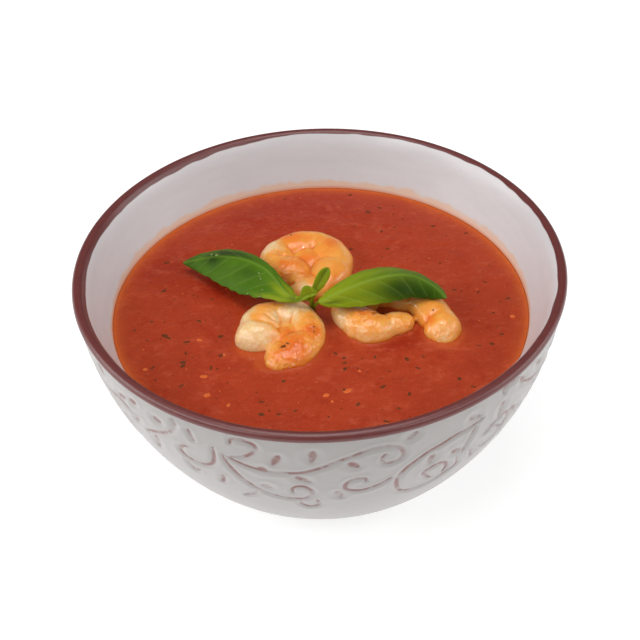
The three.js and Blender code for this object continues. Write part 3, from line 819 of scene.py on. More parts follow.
def fleck_places(tried, front_share, back_share, first=0):
    """Places on the spiral as (k, x, y), thicker in the front half."""
    for k in range(first, first + tried):
        distance = FLECK_REACH * math.sqrt((k - first + 0.2 + 0.6 * scatter(k, 1)) / tried)
        angle = k * GOLDEN_ANGLE + 0.5 * scatter(k, 2)
        x, y = distance * math.cos(angle), distance * math.sin(angle)
        share = front_share if y < 0 else back_share
        if scatter(k, 3) <= share and clear_of_garnish(x, y):
            yield k, x, y


# %% Flakes


def round_form(rings=6, sides=10):
    """A unit ball as points and faces."""
    rise = np.linspace(-math.pi / 2, math.pi / 2, rings + 2)[1:-1, None]
    turn = np.arange(sides) * 2 * math.pi / sides
    grid = np.stack([np.cos(rise) * np.cos(turn), np.cos(rise) * np.sin(turn),
                     np.sin(rise) + 0 * turn], -1)
    return closed_form(grid, [[0, 0, -1], [0, 0, 1]])


def soup_height(x, y):
    """Height of the soup's surface at one place."""
    rise, _ = soup_top(np.array([x]), np.array([y]))
    return SOUP_LEVEL + float(rise[0])


def make_bits(name, bits, finish):
    """One mesh of many flakes. A bit is x, y, z, length, width, thickness, turn and seed."""
    ball, ball_faces = round_form()
    points, faces = [], []
    for x, y, z, length, width, thickness, turn, seed in bits:
        shape = ball * (1 + 0.35 * rough(ball, 0.9, seed)[:, None])
        shape = shape * (length / 2, width / 2, thickness / 2)
        spin = np.array([[math.cos(turn), -math.sin(turn)], [math.sin(turn), math.cos(turn)]])
        shape[:, :2] = shape[:, :2] @ spin.T
        faces += renumbered(ball_faces, len(points) * len(ball))
        points.append(shape + (x, y, z))
    return make_piece(name, np.concatenate(points), faces, finish)


def placed_bits(table, height, sink, thickness, seed):
    """Bits from rows of x, y, length, width and turn, sunk a little into the surface under them."""
    return [(x, y, height(x, y) - sink, length, width, thickness, math.radians(turn), seed + k)
            for k, (x, y, length, width, turn) in enumerate(table)]


def fleck_finish(name, first, second, roughness):
    finish = new_finish(name, Roughness=roughness, Specular_IOR_Level=0.15)
    dress(finish, Base_Color=mix(finish, clouds(finish, 2.2, 2), first, second))
    return finish


# %% Herb flecks
FLECK_SINK, FLECK_THICKNESS = 0.05, 0.3
LARGE_FLECKS = [  # x, y, length, width and turn of the largest flakes
    (-43.7, -13.3, 2.6, 1.1, 10), (-50.0, -11.0, 2.2, 1.2, -30), (-44.6, -25.0, 2.6, 1.3, 50),
    (-35.6, -26.4, 2.8, 0.9, 80), (-19.3, -43.3, 2.4, 1.0, 5), (7.0, -23.9, 1.8, 1.2, 20),
    (7.1, -29.2, 2.0, 1.2, 60), (16.9, -23.9, 1.9, 0.8, 80), (27.1, -25.5, 2.4, 1.3, -60),
    (30.3, -30.0, 2.2, 0.8, -30), (44.8, 8.5, 2.2, 0.9, 5), (55.4, 12.1, 1.8, 0.8, -30),
    (-52.3, 13.4, 2.6, 1.2, 30), (51.3, 39.3, 2.2, 0.9, 20), (40.2, 44.0, 2.0, 0.9, -10),
    (12.0, 64.0, 1.8, 1.0, 40)]
herbs = []
for k, x, y in fleck_places(tried=130, front_share=0.68, back_share=0.34):
    length = lerp(1.3, 2.6, scatter(k, 4))
    width = length * lerp(0.35, 0.75, scatter(k, 5))
    height = soup_height(x, y) - FLECK_SINK
    herbs.append((x, y, height, length, width, FLECK_THICKNESS, math.pi * scatter(k, 6), k))
herbs += placed_bits(LARGE_FLECKS, soup_height, FLECK_SINK, FLECK_THICKNESS, seed=500)
chopped_herb = fleck_finish("chopped_herb", colour(76, 46, 20), colour(120, 54, 26), 0.6)
make_bits("herb_flecks", herbs, chopped_herb)

# %% Crumbs of herb and pulp
CRUMB_THICKNESS = 0.24
crumbs = []
for k, x, y in fleck_places(tried=420, front_share=0.62, back_share=0.5, first=1000):
    length = lerp(0.35, 0.9, scatter(k, 4) ** 2)
    turn = math.pi * scatter(k, 6)
    crumbs.append((x, y, soup_height(x, y), length, 0.7 * length, CRUMB_THICKNESS, turn, k))
make_bits("herb_crumbs", crumbs[1::2] + crumbs[2::4], chopped_herb)
tomato_pulp = fleck_finish("tomato_pulp", colour(196, 78, 38), colour(214, 112, 58), 0.4)
make_bits("pulp_crumbs", crumbs[::4], tomato_pulp)

# %% Bits of pepper
LARGE_BITS = [  # x, y, length, width and turn of the largest pieces of pepper
    (-36.6, -39.6, 4.4, 3.2, 0), (0.5, -41.6, 4.6, 3.0, 10), (7.4, -39.6, 4.0, 2.6, 30),
    (-38.0, -30.6, 4.8, 2.6, 5), (-40.1, -12.5, 3.4, 2.2, 0)]
peppers = []
for k, x, y in fleck_places(tried=22, front_share=0.6, back_share=0.12, first=3000):
    length = lerp(1.4, 2.8, scatter(k, 4))
    turn = math.pi * scatter(k, 6)
    peppers.append((x, y, soup_height(x, y) - 0.16, length, 0.8 * length, 0.5, turn, k))
peppers += placed_bits(LARGE_BITS, soup_height, sink=0.2, thickness=0.52, seed=600)
yellow_pepper = fleck_finish("yellow_pepper", colour(196, 76, 34), colour(218, 116, 56), 0.35)
make_bits("pepper_bits", peppers, yellow_pepper)

# %% [markdown]
# ## The shrimps
#
# Heat turns a shrimp orange in patches, and the rest of its flesh stays cream. No simple rule gives the
# patches, so they are placed one by one: a patch warms the flesh (above 0) or makes it paler (below 0).
# A painted picture round the body would do the same, but patches in millimetres stay in place when the
# mesh is made finer. Where the skin is torn it is craggy, and that has patches of its own.

# %% Where the shrimps are stained
STAINS = {  # how warm a shrimp is all over, and the x, y, radius and strength of each patch
    "shrimp_front": {"warmth": 0.22, "patches": [
        (-19.8, -17.4, 5.5, -0.2), (-18.5, -3.5, 3.4, 0.6), (-14.0, -1.6, 3.0, 0.4),
        (-21.0, -9.5, 2.2, 0.3), (-2.6, -14.8, 3.4, 0.9), (-3.8, -9.0, 3.4, 0.45),
        (-18.5, -11.5, 3.5, 0.25), (-11.4, -14.4, 3.2, 0.7), (-8.8, -22.8, 6.5, 0.95),
        (-15.0, -26.0, 5.0, 0.3), (-8.0, -5.0, 3.0, -0.1)]},
    "shrimp_back": {"warmth": 0.62, "patches": [
        (-7.5, 32.6, 4.6, 0.35), (-3.7, 21.6, 3.2, 0.4), (4.6, 28.2, 4.2, 0.35),
        (-12.0, 31.0, 3.0, 0.2), (-17.7, 28.8, 4.6, -0.85), (-2.8, 38.2, 4.0, -0.35),
        (5.0, 36.0, 4.0, -0.25), (9.0, 26.0, 3.5, -0.2), (-9.9, 15.6, 3.6, 0.4),
        (-9.5, 11.0, 3.0, -0.25), (-5.0, 7.0, 4.0, -0.25), (4.0, 10.0, 4.0, 0.15)]},
    "shrimp_right": {"warmth": 0.5, "patches": [
        (15.9, -14.1, 3.0, 0.15), (15.0, -9.0, 3.0, 0.3), (12.0, -7.5, 5.0, 0.22),
        (20.0, -8.0, 3.0, 0.25), (5.7, -9.1, 3.6, -0.4), (13.0, -17.0, 4.0, -0.15),
        (27.6, -9.5, 3.0, 0.12), (35.5, -12.1, 2.6, 0.4), (37.0, -7.5, 5.0, 0.2),
        (40.5, -14.0, 4.0, 0.0), (38.2, -19.5, 3.0, -0.25)]},
}
CRAGGY = {  # x, y and radius of the patches whose skin is rough
    "shrimp_front": [(-8.8, -22.8, 7.5), (-15.5, -26.5, 6), (-17, -0.5, 5), (-9, 0.5, 5), (-2.5, -13, 5)],
    "shrimp_back": [(-9.5, 14.5, 5.5), (-15, 24, 4)],
    "shrimp_right": [(27.6, -10.5, 5), (38.2, -19.5, 4), (12, -10, 8)],
}

# %% [markdown]
# ## Shrimp flesh
#
# Cooked flesh lets light in, which comes out again warm and soft, so it needs subsurface scattering,
# with red going deepest. A thin wet coat gives the small sharp glints. The colour goes from cream over
# light orange to deep orange with the warmth that was stored on the points, broken up by noise.

# %% Shrimp finish


def shrimp_finish():
    flesh = new_finish("cooked_shrimp", Roughness=0.34, IOR=1.4, Subsurface_Weight=0.7,
                       Subsurface_Radius=(1.0, 0.5, 0.22), Subsurface_Scale=2.4 * MM,
                       Coat_Weight=0.65, Coat_Roughness=0.1)
    blotch = calc(flesh, "SUBTRACT", clouds(flesh, 3.4, 4, roughness=0.65), 0.5)
    warmth = calc(flesh, "ADD", mark(flesh, "warmth"), calc(flesh, "MULTIPLY", blotch, 0.7))
    fibres = fade(flesh, clouds(flesh, 1.2, 3), 0.48, 0.7)
    body = mix(flesh, fibres, colour(232, 194, 140), colour(242, 216, 174))
    for low, high, tone in ((0.1, 0.6, colour(234, 160, 66)), (0.5, 1.05, colour(228, 120, 26)),
                            (1.0, 1.5, colour(204, 84, 18))):
        body = mix(flesh, fade(flesh, warmth, low, high), body, tone)
    craggy = mark(flesh, "craggy")
    specks = calc(flesh, "MULTIPLY", craggy, fade(flesh, clouds(flesh, 1.2, 2), 0.55, 0.7, 0, 0.4))
    body = mix(flesh, specks, body, colour(240, 190, 160))
    pits = calc(flesh, "MULTIPLY", craggy, clouds(flesh, 1.1, 3, roughness=0.6))
    skin = bump(flesh, clouds(flesh, 0.9, 3, roughness=0.6), 0.15)
    dress(flesh, Base_Color=body, Normal=bump(flesh, pits, 0.35, skin))
    return flesh


# %% [markdown]
# ## Shrimp bodies
#
# A peeled shrimp is a curled, tapering body with six segments, each with a soft bulge. The curl closes
# so far that parts of the body lie on each other, so it is made as several overlapping closed forms.
# A voxel remesh joins them under one skin, as a layer of clay would, and smoothing rounds the creases.
# Sculpting by hand would be freer, but a curve and a few widths can be read and changed.

# %% Room inside a bend
CROWDING = 0.85  # share of a bend's radius that the body may fill on its inside
NO_LIMIT = 1e9


def room_beside(centres, left):
    """How far each ring may reach to its left and right before it would cross its neighbours."""
    room = np.full((len(centres), 2), NO_LIMIT)
    before, after = slice(None, -1), slice(1, None)
    for here, there in ((after, before), (before, after)):
        cross = left[here, 0] * left[there, 1] - left[here, 1] * left[there, 0]
        gap = centres[there] - centres[here]
        meet = gap[:, 0] * left[there, 1] - gap[:, 1] * left[there, 0]
        meet = meet / np.where(cross == 0, 1 / NO_LIMIT, cross)
        for side, sign in ((0, 1), (1, -1)):
            limit = np.where(np.sign(meet) == sign, CROWDING * np.abs(meet), NO_LIMIT)
            room[here, side] = np.minimum(room[here, side], limit)
    return room


# %% Curled body
SHRIMP_RINGS = 220
SHRIMP_SIDES = 64
RINGS_TO_ENDS = 0.35  # how much closer together the rings stand at the ends
SLANT = 0.03  # how far a crease runs ahead on the belly side, as a share of the length
CREASE_DEPTH, CREASE_WIDTH = 0.35, 0.3


def body_tube(shrimp):
    """Points and faces of the curled body."""
    even = np.linspace(0, 1, SHRIMP_RINGS)
    u = lerp(even, (1 - np.cos(np.pi * even)) / 2, RINGS_TO_ENDS)[1:-1]
    rows = spline(shrimp["line"], u)
    ahead = heading(shrimp["line"], u)[:, :2]
    along = ahead / np.linalg.norm(ahead, axis=1)[:, None]
    left = np.stack([-along[:, 1], along[:, 0]], -1)
    room = room_beside(rows[:, :2], left)
    turn = np.arange(SHRIMP_SIDES) * 2 * math.pi / SHRIMP_SIDES
    cos, sin = np.cos(turn)[None, :], np.sin(turn)[None, :]
    outer = cos * shrimp["outside"]
    half, lobes = body_halves(shrimp["line"], u[:, None] + 0 * cos, SLANT * (1 - outer) / 2)
    crease = np.exp(-(lobes / CREASE_WIDTH) ** 2) * smoothstep(-0.55, 0.35, -outer)
    half = half - CREASE_DEPTH * crease * smoothstep(0, 2.5, half)
    limit = np.where(cos > 0, room[:, :1], room[:, 1:])
    across = np.minimum(half * np.where(outer > 0, 1, shrimp["belly"]), limit) * cos
    grid = np.empty((len(u), SHRIMP_SIDES, 3))
    grid[..., :2] = rows[:, None, :2] + across[..., None] * left[:, None, :]
    grid[..., 2] = SOUP_LEVEL + rows[:, None, 2] + half * shrimp["flatness"] * sin
    return closed_form(grid, spline(shrimp["line"], [0.0, 1.0])[:, :3] + (0, 0, SOUP_LEVEL))


# %% One skin
SKIN_STEP = 0.3  # size of the faces of the joined skin


def one_skin(points, faces, rounds):
    """A closed skin round overlapping forms, smoothed a number of times: points, normals, faces."""
    mesh = bpy.data.meshes.new("forms")
    mesh.from_pydata((points * MM).tolist(), [], faces)
    form = put_in_scene("forms", mesh)
    skin = form.modifiers.new("skin", "REMESH")
    skin.mode = "VOXEL"
    skin.voxel_size = SKIN_STEP * MM
    smooth = form.modifiers.new("smooth", "SMOOTH")
    smooth.iterations = rounds
    done = bpy.data.meshes.new_from_object(form.evaluated_get(bpy.context.evaluated_depsgraph_get()))
    found = np.empty((2, len(done.vertices), 3), np.float32)
    done.vertices.foreach_get("co", found[0].ravel())
    done.vertices.foreach_get("normal", found[1].ravel())
    skin_faces = [tuple(face.vertices) for face in done.polygons]
    bpy.data.objects.remove(form)
    bpy.data.meshes.remove(mesh)
    bpy.data.meshes.remove(done)
    return found[0] / MM, found[1], skin_faces


# %% Dress a shrimp
SOFT_ROUNDS = 12  # of smoothing
SOFTER = 4  # times as many rounds, to find the creases
CREASE_LIFT = 0.22  # a crease that smoothing lifts this far is stained in full
CREASE_WARMTH, WET_WARMTH = 0.45, 0.4


def crags(points, name, seed):
    """Where the skin is rough, 0 to 1, and how far it stands out there."""
    craggy = np.clip(patchwork(points, [(*patch, 1.0) for patch in CRAGGY[name]], seed), 0, 1)
    return craggy, craggy * (0.3 * rough(points, 1.7, seed + 3) + 0.1 * rough(points, 0.8, seed + 4))


def make_shrimp(name, shrimp, finish, seed):
    forms, form_faces = body_tube(shrimp)
    ball, ball_faces = round_form(rings=24, sides=40)
    for x, y, z, *halves in shrimp["lumps"]:
        form_faces += renumbered(ball_faces, len(forms))
        forms = np.vstack([forms, ball * halves + (x, y, SOUP_LEVEL + z)])
    points, normals, faces = one_skin(forms, form_faces, SOFT_ROUNDS)
    softer, _, _ = one_skin(forms, form_faces, SOFTER * SOFT_ROUNDS)
    crease = np.clip(((softer - points) * normals).sum(1) / CREASE_LIFT, 0, 1)
    craggy, crag = crags(points, name, seed)
    dents = 0.26 * rough(points, 4.2, seed) + 0.07 * rough(points, 1.9, seed + 5)
    points = points + normals * (dents + crag)[:, None]
    over_soup = points[:, 2] - SOUP_LEVEL - 0.5 * rough(points, 2.5, seed + 7)
    wet = 1 - smoothstep(0.2, 1.5, over_soup)
    warmth = STAINS[name]["warmth"] + patchwork(points, STAINS[name]["patches"], seed)
    warmth = warmth + CREASE_WARMTH * crease + WET_WARMTH * wet
    piece = make_piece(name.replace("shrimp", "peeled_shrimp"), points, faces, finish,
                       {"warmth": np.clip(warmth, 0, 1.5), "craggy": craggy})
    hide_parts(name)
    return piece


flesh = shrimp_finish()
shrimp_bodies = [make_shrimp(name, shrimp, flesh, 10.0 * seed + 2.5)
                 for seed, (name, shrimp) in enumerate(SHRIMPS.items())]

# %% [markdown]
# ## Flakes that lie on the shrimps
#
# A few flakes of herb were ladled on top of the shrimps, and a bare shrimp would look too clean. They
# are made as the other flakes are. Only their height is new: it is read from the finished skin, as the
# highest point near the flake, which follows every dent without a search through the faces.

# %% Flakes on top
TOP_FLECKS = [  # x, y, length, width and turn
    (-12.2, -22.3, 2.2, 1.0, 20), (-10.9, -21.6, 1.4, 0.6, -30), (-2.3, -14.1, 1.0, 0.4, 30),
    (-2.3, -16.1, 0.9, 0.4, 70), (21.7, -7.4, 0.7, 0.5, 0), (36.5, -8.6, 0.7, 0.5, 40),
    (-9.2, 33.0, 0.6, 0.4, 0)]
NEAR = 0.6  # how far from a flake the skin is looked at


def skin_height(x, y):
    """Height of the shrimps' upper side over a place."""
    best = SOUP_LEVEL
    for body in shrimp_bodies:
        points = np.empty(3 * len(body.data.vertices), np.float32)
        body.data.vertices.foreach_get("co", points)
        points = points.reshape(-1, 3) / MM
        near = np.hypot(points[:, 0] - x, points[:, 1] - y) < NEAR
        best = max([best, *points[near, 2]])
    return float(best)


top_flecks = placed_bits(TOP_FLECKS, skin_height, sink=0, thickness=FLECK_THICKNESS, seed=700)
make_bits("top_flecks", top_flecks, chopped_herb)

# %% [markdown]
# ## The basil
#
# Basil leaves are puffed up between veins that are sunk in from above, like a quilt. Each leaf is a
# thin sheet that hangs from its midrib, which is a spline: a row is x, y, the height over the soup, and
# how far the leaf reaches on its far and near side. Droop is how many degrees the two sides hang down
# (far, then near, each from stalk to tip). Painted shade and drops are given by the place on the leaf:
# the share of its length, and -1 to 1 from the near edge to the far one.

# %% Leaf rows
LEAF_THICKNESS = 0.5
LEAVES = {
    "left": {
        "grid": (190, 96), "veins": 7, "wave": 0.3, "young": 0.34, "droop": ((-16, -16), (-28, -38)),
        "midrib": [
            (-7.0, -5.0, 9.2, 0.8, 0.8), (-11.2, -2.6, 10.4, 4.0, 3.8), (-14.2, 2.6, 11.5, 2.8, 9.0),
            (-18.0, 8.4, 12.0, 3.0, 11.2), (-24.8, 14.7, 11.2, 5.2, 11.2), (-33.0, 19.6, 9.0, 8.0, 9.2),
            (-39.2, 21.8, 6.6, 6.4, 5.8), (-42.8, 22.6, 5.2, 3.4, 2.8), (-45.8, 23.2, 4.0, 0.4, 0.4)],
        "painted_shade": [  # along, across, the two widths and the strength of a darker place
            (0.6, 0.36, 0.13, 0.3, 1.0), (0.67, -0.15, 0.06, 0.3, 0.9), (0.44, -0.35, 0.08, 0.2, 0.4),
            (0.95, 0.0, 0.14, 1.5, 0.5), (0.04, -0.3, 0.04, 0.6, 0.6)],
        "drops": [  # along, across and radius
            (0.69, 0.2, 0.5), (0.65, 0.1, 0.6), (0.38, -0.2, 0.5), (0.36, -0.26, 0.4),
            (0.34, -0.32, 0.5), (0.33, -0.93, 0.5), (0.23, -0.93, 0.6), (0.26, -0.6, 0.4)]},
    "right": {
        "grid": (190, 96), "veins": 7, "wave": 0.3, "young": 0.95, "droop": ((5, -45), (-50, -50)),
        "midrib": [
            (-0.4, -6.2, 9.0, 0.7, 0.7), (1.9, -6.4, 10.4, 3.4, 3.0), (4.7, -6.1, 12.0, 4.6, 5.1),
            (10.8, -4.8, 14.0, 6.6, 7.4), (17.5, -3.0, 15.2, 8.2, 8.3), (24.9, -1.6, 15.6, 9.4, 8.5),
            (31.1, -1.2, 14.4, 9.2, 7.7), (36.5, -2.5, 11.8, 7.2, 5.8), (39.2, -3.8, 9.8, 4.2, 3.8),
            (41.0, -5.5, 8.2, 0.4, 0.4)],
        "painted_shade": [
            (0.74, -0.75, 0.22, 0.6, 0.85), (0.54, -0.7, 0.1, 0.4, 0.45), (0.56, -0.3, 0.1, 0.25, 0.25),
            (0.16, -0.55, 0.1, 0.16, 0.6)],
        "drops": []},
    "upright": {
        "grid": (70, 36), "veins": 5, "wave": 0.1, "young": 2.5, "droop": ((14, 14), (14, 14)),
        "across": (1, 0, -0.2),
        "midrib": [
            (-3.0, -3.4, 7.8, 0.5, 0.5), (-1.8, -2.6, 10.6, 1.2, 1.2), (-0.2, -1.8, 13.2, 1.9, 1.9),
            (1.4, -0.8, 15.8, 2.1, 2.1), (2.6, 0.0, 17.2, 1.4, 1.4), (3.2, 0.4, 17.8, 0.3, 0.3)],
        "painted_shade": [(0.7, -0.2, 0.2, 0.5, 0.35)],
        "drops": []},
    "folded": {
        "grid": (60, 36), "veins": 4, "wave": 0.1, "young": 2.0, "droop": ((10, 10), (10, 10)),
        "across": (-0.1, 0.5, 0.85),
        "midrib": [
            (-0.8, -4.4, 11.2, 0.4, 0.3), (-2.6, -4.7, 11.2, 2.7, 0.8), (-4.0, -5.0, 11.0, 3.4, 1.0),
            (-5.6, -5.3, 10.2, 1.5, 0.9), (-7.2, -5.6, 9.0, 0.3, 0.3)],
        "painted_shade": [],
        "drops": []},
}

# %% [markdown]
# ## Leaf colour
#
# A leaf is young and yellow green at its stalk and darker towards the tip. Where it dips and folds away
# from the light, painted shade makes it nearly black green, and its veins are paler. All this is stored
# on the points as marks, because it follows the leaf's own length and width, which a texture in space
# could not follow round the curl of the leaf.

# %% Basil finish


def basil_finish():
    basil = new_finish("basil_leaf", Roughness=0.45, IOR=1.45, Specular_IOR_Level=0.12,
                       Subsurface_Weight=0.12, Subsurface_Radius=(0.35, 1.0, 0.15),
                       Subsurface_Scale=0.6 * MM)
    blade = mix(basil, clouds(basil, 6, 4, roughness=0.55), colour(56, 92, 12), colour(80, 116, 20))
    young = fade(basil, mark(basil, "young"), 0, 1, 0, 0.9)
    blade = mix(basil, young, blade, colour(134, 148, 22))
    # painted shade: nearly black green where the leaf dips and folds away from the light
    blade = mix(basil, mark(basil, "painted_shade"), blade, colour(32, 56, 3))
    veins = calc(basil, "MULTIPLY", mark(basil, "vein"), 0.22)
    blade = mix(basil, veins, blade, colour(140, 164, 70))
    dress(basil, Base_Color=blade, Normal=bump(basil, clouds(basil, 0.7, 2), 0.05))
    return basil


# %% [markdown]
# ## Leaf blades
#
# At each row of the midrib three directions are known: ahead, to the far side, and up. Every point of
# the blade is then so far out to its side and so far up. The veins branch from the midrib and arch
# towards the tip, so the height over them is worked out from the place along and across the leaf. Each
# blade gets an upper and a lower sheet that meet at the edge, because a real leaf has a thickness, and
# a closed body also serves where a single sheet of faces would not.

# %% Directions along a midrib


def unit(vectors):
    return vectors / np.linalg.norm(vectors, axis=-1, keepdims=True)


def leaf_directions(leaf, u):
    """Ahead, to the far side and up, at the shares u of the midrib."""
    forward = unit(heading(leaf["midrib"], u)[:, :3])
    if "across" in leaf:
        across = np.array(leaf["across"])
        far = unit(across - forward * (forward @ across)[:, None])
    else:
        far = unit(np.cross((0, 0, 1), forward))
        far *= np.where(far[:, 1:2] < 0, -1, 1)
    lift = unit(np.cross(forward, far))
    lift *= np.where(lift[:, 2:] < 0, -1, 1)
    return forward, far, lift


# %% Teeth, veins and quilting
TEETH, TOOTH_DEPTH = 13, 0.035
VEIN_ARCH = 0.17  # how far a side vein runs ahead, as a share of the leaf
VEIN_WIDTH = 0.07  # as a share of the distance between veins
RIB_WIDTH = 0.45
PUFF, VEIN_SINK, RIB_SINK = 0.2, 0.05, 0.2  # heights of the relief
FULL_REACH = 6  # narrower parts of a leaf have less relief


def edge_teeth(u, size):
    wave = 0.5 + 0.5 * np.sin(2 * np.pi * TEETH * u + 2 * size)
    return 1 - TOOTH_DEPTH * wave * smoothstep(0.75, 1, size)


def leaf_relief(leaf, u, t, reach, out):
    """Height of the quilting over the blade, and how much of a vein or midrib each point is."""
    size = np.abs(t)
    phase = (u - VEIN_ARCH * size**1.3) * leaf["veins"] * 1.25 + np.where(t > 0, 0.5, 0.0)
    to_vein = np.abs(phase - np.round(phase))
    vein = np.exp(-(to_vein / VEIN_WIDTH) ** 2) * smoothstep(0.02, 0.12, size)
    vein = vein * (1 - smoothstep(0.7, 0.98, size))
    rib = np.exp(-(out / RIB_WIDTH) ** 2)
    puff = np.sin(np.pi * np.clip(to_vein * 2, 0, 1) / 2) ** 0.7
    puff = puff * smoothstep(0.02, 0.3, size) * (1 - smoothstep(0.75, 1, size))
    plump = np.minimum(1, reach / FULL_REACH)
    quilt = plump * (PUFF * puff - VEIN_SINK * vein) - RIB_SINK * rib * plump
    return quilt, np.clip(vein * 0.6 + rib, 0, 1)


def leaf_tones(leaf, u, t):
    """How young the leaf is at each point, and how much shade is painted on it, 0 to 1."""
    young = (1 - smoothstep(0.02, leaf["young"], u + 0.05 * np.sin(9 * t))) * np.ones_like(t)
    painted_shade = np.zeros_like(young)
    for at_u, at_t, wide_u, wide_t, share in leaf["painted_shade"]:
        painted_shade += share * np.exp(-((u - at_u) / wide_u) ** 2 - ((t - at_t) / wide_t) ** 2)
    return {"young": young, "painted_shade": np.clip(painted_shade, 0, 1)}


# %% One leaf


def leaf_sheet(leaf):
    """Upper and lower points of one leaf, its marks, and whether its faces have to be turned over."""
    along, across = leaf["grid"]
    share = np.linspace(0, 1, along)
    u, t = share[:, None], np.linspace(-1, 1, across)[None, :]
    rows = spline(leaf["midrib"], share)
    middle = rows[:, None, :3] + (0, 0, SOUP_LEVEL)
    forward, far, lift = leaf_directions(leaf, share)
    far_droop, near_droop = (lerp(*ends, u) for ends in leaf["droop"])
    droop = np.radians(np.where(t > 0, far_droop, near_droop))
    reach = np.where(t > 0, rows[:, 3:4], rows[:, 4:5])
    out = np.abs(t) * reach * edge_teeth(u, np.abs(t))
    quilt, vein = leaf_relief(leaf, u, t, reach, out)
    ripple = leaf["wave"] * t**2 * np.sin(14 * u + 2 * t)
    sideways, upwards = far[:, None], lift[:, None]
    at = (middle + sideways * (np.sign(t) * out * np.cos(droop))[..., None]
          + upwards * (out * np.sin(droop) + ripple + quilt)[..., None])
    facing = unit(upwards * np.cos(droop)[..., None] - sideways * (np.sin(droop) * np.sign(t))[..., None])
    half = LEAF_THICKNESS / 2 * (1 - 0.5 * smoothstep(0.8, 1, np.abs(t))) * np.ones_like(u)
    skin = facing * half[..., None]
    mirrored = (np.cross(forward, far) * lift).sum(1).mean() > 0
    return at + skin, at - skin, {"vein": vein, **leaf_tones(leaf, u, t)}, mirrored


# %% Faces of a leaf


def sheet_faces(along, across, first):
    """Faces of two grids, one over the other, closed round their edge."""
    size = along * across
    top = grid_faces(along, across, False, first)
    under = [tuple(reversed(face)) for face in grid_faces(along, across, False, first + size)]
    index = first + np.arange(size).reshape(along, across)
    border = [*index[0, :], *index[1:, -1], *index[-1, -2::-1], *index[-2:0:-1, 0]]
    wall = [(b, a, a + size, b + size) for a, b in zip(border, border[1:] + border[:1])]
    return top + under + [tuple(int(i) for i in face) for face in wall]


# %% Stalks
STALKS = [
    {"from": (-2.2, 1.8, -2.5), "to": (-3.0, -3.3, 8.0), "radius": 0.95},
    {"from": (-3.0, -3.4, 7.8), "to": (-8.0, -4.6, 9.6), "radius": 0.8},
    {"from": (-2.2, -1.0, 2.6), "to": (0.2, -6.0, 9.4), "radius": 0.6},
    {"from": (-3.0, -3.4, 7.4), "to": (-1.8, -2.6, 10.2), "radius": 0.8},
    {"from": (-3.0, -3.4, 7.6), "to": (-3.4, -4.8, 11.4), "radius": 0.6},
]
STALK_ARCH = 0.25
STALK_TAPER = 0.85


def stalk_tube(stalk, sides=14, rings=16):
    """A slightly arched, tapering tube as points and faces."""
    start, end = np.array(stalk["from"]), np.array(stalk["to"])
    t = np.linspace(0, 1, rings)[:, None]
    line = start + (end - start) * t + (0, 0, SOUP_LEVEL)
    line[:, 2] += STALK_ARCH * np.sin(np.pi * t[:, 0])
    axis = unit(end - start)
    side = unit(np.cross(axis, (0.3, 1, 0.2)))
    over = np.cross(axis, side)
    turn = np.arange(sides) * 2 * math.pi / sides
    radius = stalk["radius"] * lerp(1, STALK_TAPER, t[:, :, None])
    ring = np.cos(turn)[:, None] * side + np.sin(turn)[:, None] * over
    return closed_form(line[:, None] + radius * ring[None], [line[0], line[-1]])


# %% The whole sprig


def make_basil():
    """The sprig as one joined mesh, and the places and sizes of the drops that lie on it."""
    points, faces, drops = [], [], []
    marks = {"vein": [], "young": [], "painted_shade": []}
    count = 0
    for leaf in LEAVES.values():
        along, across = leaf["grid"]
        upper, lower, leaf_marks, mirrored = leaf_sheet(leaf)
        leaf_faces = sheet_faces(along, across, count)
        faces += [tuple(reversed(face)) for face in leaf_faces] if mirrored else leaf_faces
        for side in (upper, lower):
            points.append(side.reshape(-1, 3))
            for name, values in leaf_marks.items():
                marks[name].append(values.ravel())
        count += 2 * along * across
        for u, t, size in leaf["drops"]:
            drops.append((upper[round(u * (along - 1)), round((t + 1) / 2 * (across - 1))], size))
    for stalk in STALKS:
        tube, tube_faces = stalk_tube(stalk)
        faces += renumbered(tube_faces, count)
        points.append(tube)
        for name in marks:
            marks[name].append(np.full(len(tube), float(name == "young")))
        count += len(tube)
    marks = {name: np.concatenate(values) for name, values in marks.items()}
    points = np.concatenate(points)
    return make_piece("basil_leaves", points, faces, basil_finish(), marks), drops


basil, drops = make_basil()
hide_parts("basil_sprig")

# %% [markdown]
# ## Drops of water
#
# The leaf was rinsed, and small drops stayed on it. A real drop is a clear dome, which needs refraction
# and takes long to render at this size. It mostly shows the leaf's green and one sharp glint, so a low
# ball of smooth, opaque, wet green does as well. The drops lie where the leaf's own points are.

# %% Drops on the left leaf
DROP_FLATNESS = 0.6


def make_drops():
    """Low domes of water as one joined mesh."""
    water = new_finish("wet_drop", Base_Color=colour(96, 124, 40), Roughness=0.04, IOR=1.33,
                       Coat_Weight=1.0, Coat_Roughness=0.02)
    ball, ball_faces = round_form(rings=10, sides=16)
    points, faces = [], []
    for centre, size in drops:
        faces += renumbered(ball_faces, len(points) * len(ball))
        points.append(ball * (size, size, DROP_FLATNESS * size) + centre)
    return make_piece("leaf_drops", np.concatenate(points), faces, water)


make_drops()

# %% [markdown]
# ## Floor
#
# The bowl stands on plain white. A white floor that also glows a little stays white in the picture, and
# its shadows stay soft. Without the glow it would have to be lit so brightly that the bowl burns out.

# %% Floor
FLOOR_HALF = 3000


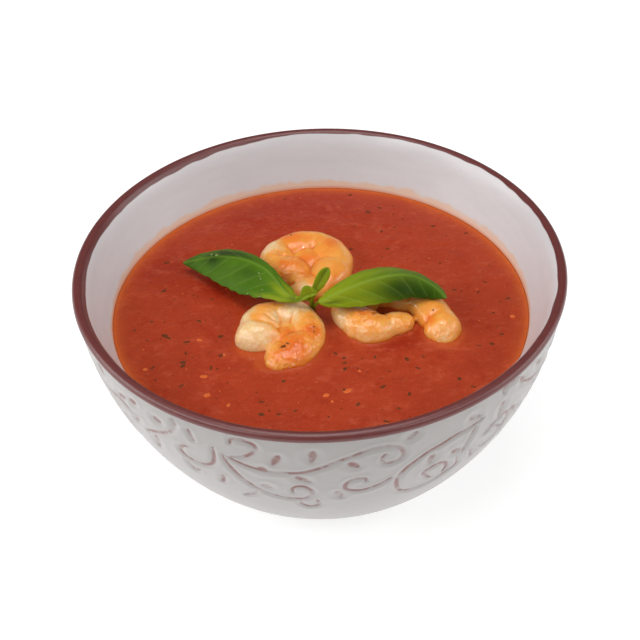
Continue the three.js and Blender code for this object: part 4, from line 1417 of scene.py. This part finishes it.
def make_floor():
    finish = new_finish("white_paper", Roughness=0.9, Base_Color=(0.5, 0.5, 0.5, 1),
                        Emission_Color=(1, 1, 1, 1), Emission_Strength=0.68)
    mesh = bpy.data.meshes.new("floor")
    h = FLOOR_HALF * MM
    mesh.from_pydata([(-h, -h, 0), (h, -h, 0), (h, h, 0), (-h, h, 0)], [], [(0, 1, 2, 3)])
    mesh.materials.append(finish)
    floor = put_in_scene("floor", mesh)


make_floor()

# %% [markdown]
# ## Light
#
# The light is soft and comes from all sides, as in a tent of white cloth. Large lamps stand on both
# sides, on both sides in front, above and behind, and a pale sky fills in the rest. The left ones are
# stronger, which gives the bowl its roundness. One small lamp above makes the glints on what is wet,
# because a large lamp would cover the shrimps with one broad pale patch.

# %% Light
LIGHTS = {  # degrees round from the front, degrees up, distance and size in millimetres, watts
    "left": (-90, 22, 850, (600, 500), 3.4),
    "right": (90, 20, 850, (600, 460), 2.3),
    "left_front": (-50, 40, 1000, (600, 500), 3.1),
    "right_front": (50, 40, 1000, (600, 500), 2.0),
    "above": (0, 89, 1000, (700, 700), 4.9),
    "behind": (172, 38, 1100, (900, 600), 0.2),
    "glint": (-12, 72, 900, (50, 50), 0.35),
}
LIGHTS_AIM = 50  # height they point at
SKY_STRENGTH = 0.1


def make_lights():
    for name, (turn, rise, distance, size, power) in LIGHTS.items():
        turn, rise = math.radians(turn), math.radians(rise)
        flat = math.cos(rise)
        away = Vector((math.sin(turn) * flat, -math.cos(turn) * flat, math.sin(rise)))
        light = bpy.data.lights.new(name, "AREA")
        light.shape = "RECTANGLE"
        light.size, light.size_y = size[0] * MM, size[1] * MM
        light.energy = power
        lamp = put_in_scene(name, light)
        lamp.location = (away * distance + Vector((0, 0, LIGHTS_AIM))) * MM
        lamp.rotation_euler = away.to_track_quat("Z", "Y").to_euler()
    sky = bpy.data.worlds.new("sky")
    sky.use_nodes = True
    shine = sky.node_tree.nodes["Background"].inputs
    shine["Color"].default_value = (1, 1, 1, 1)
    shine["Strength"].default_value = SKY_STRENGTH
    bpy.context.scene.world = sky


make_lights()
bpy.context.scene.view_settings.view_transform = "Standard"
print("lights:", sorted(LIGHTS))
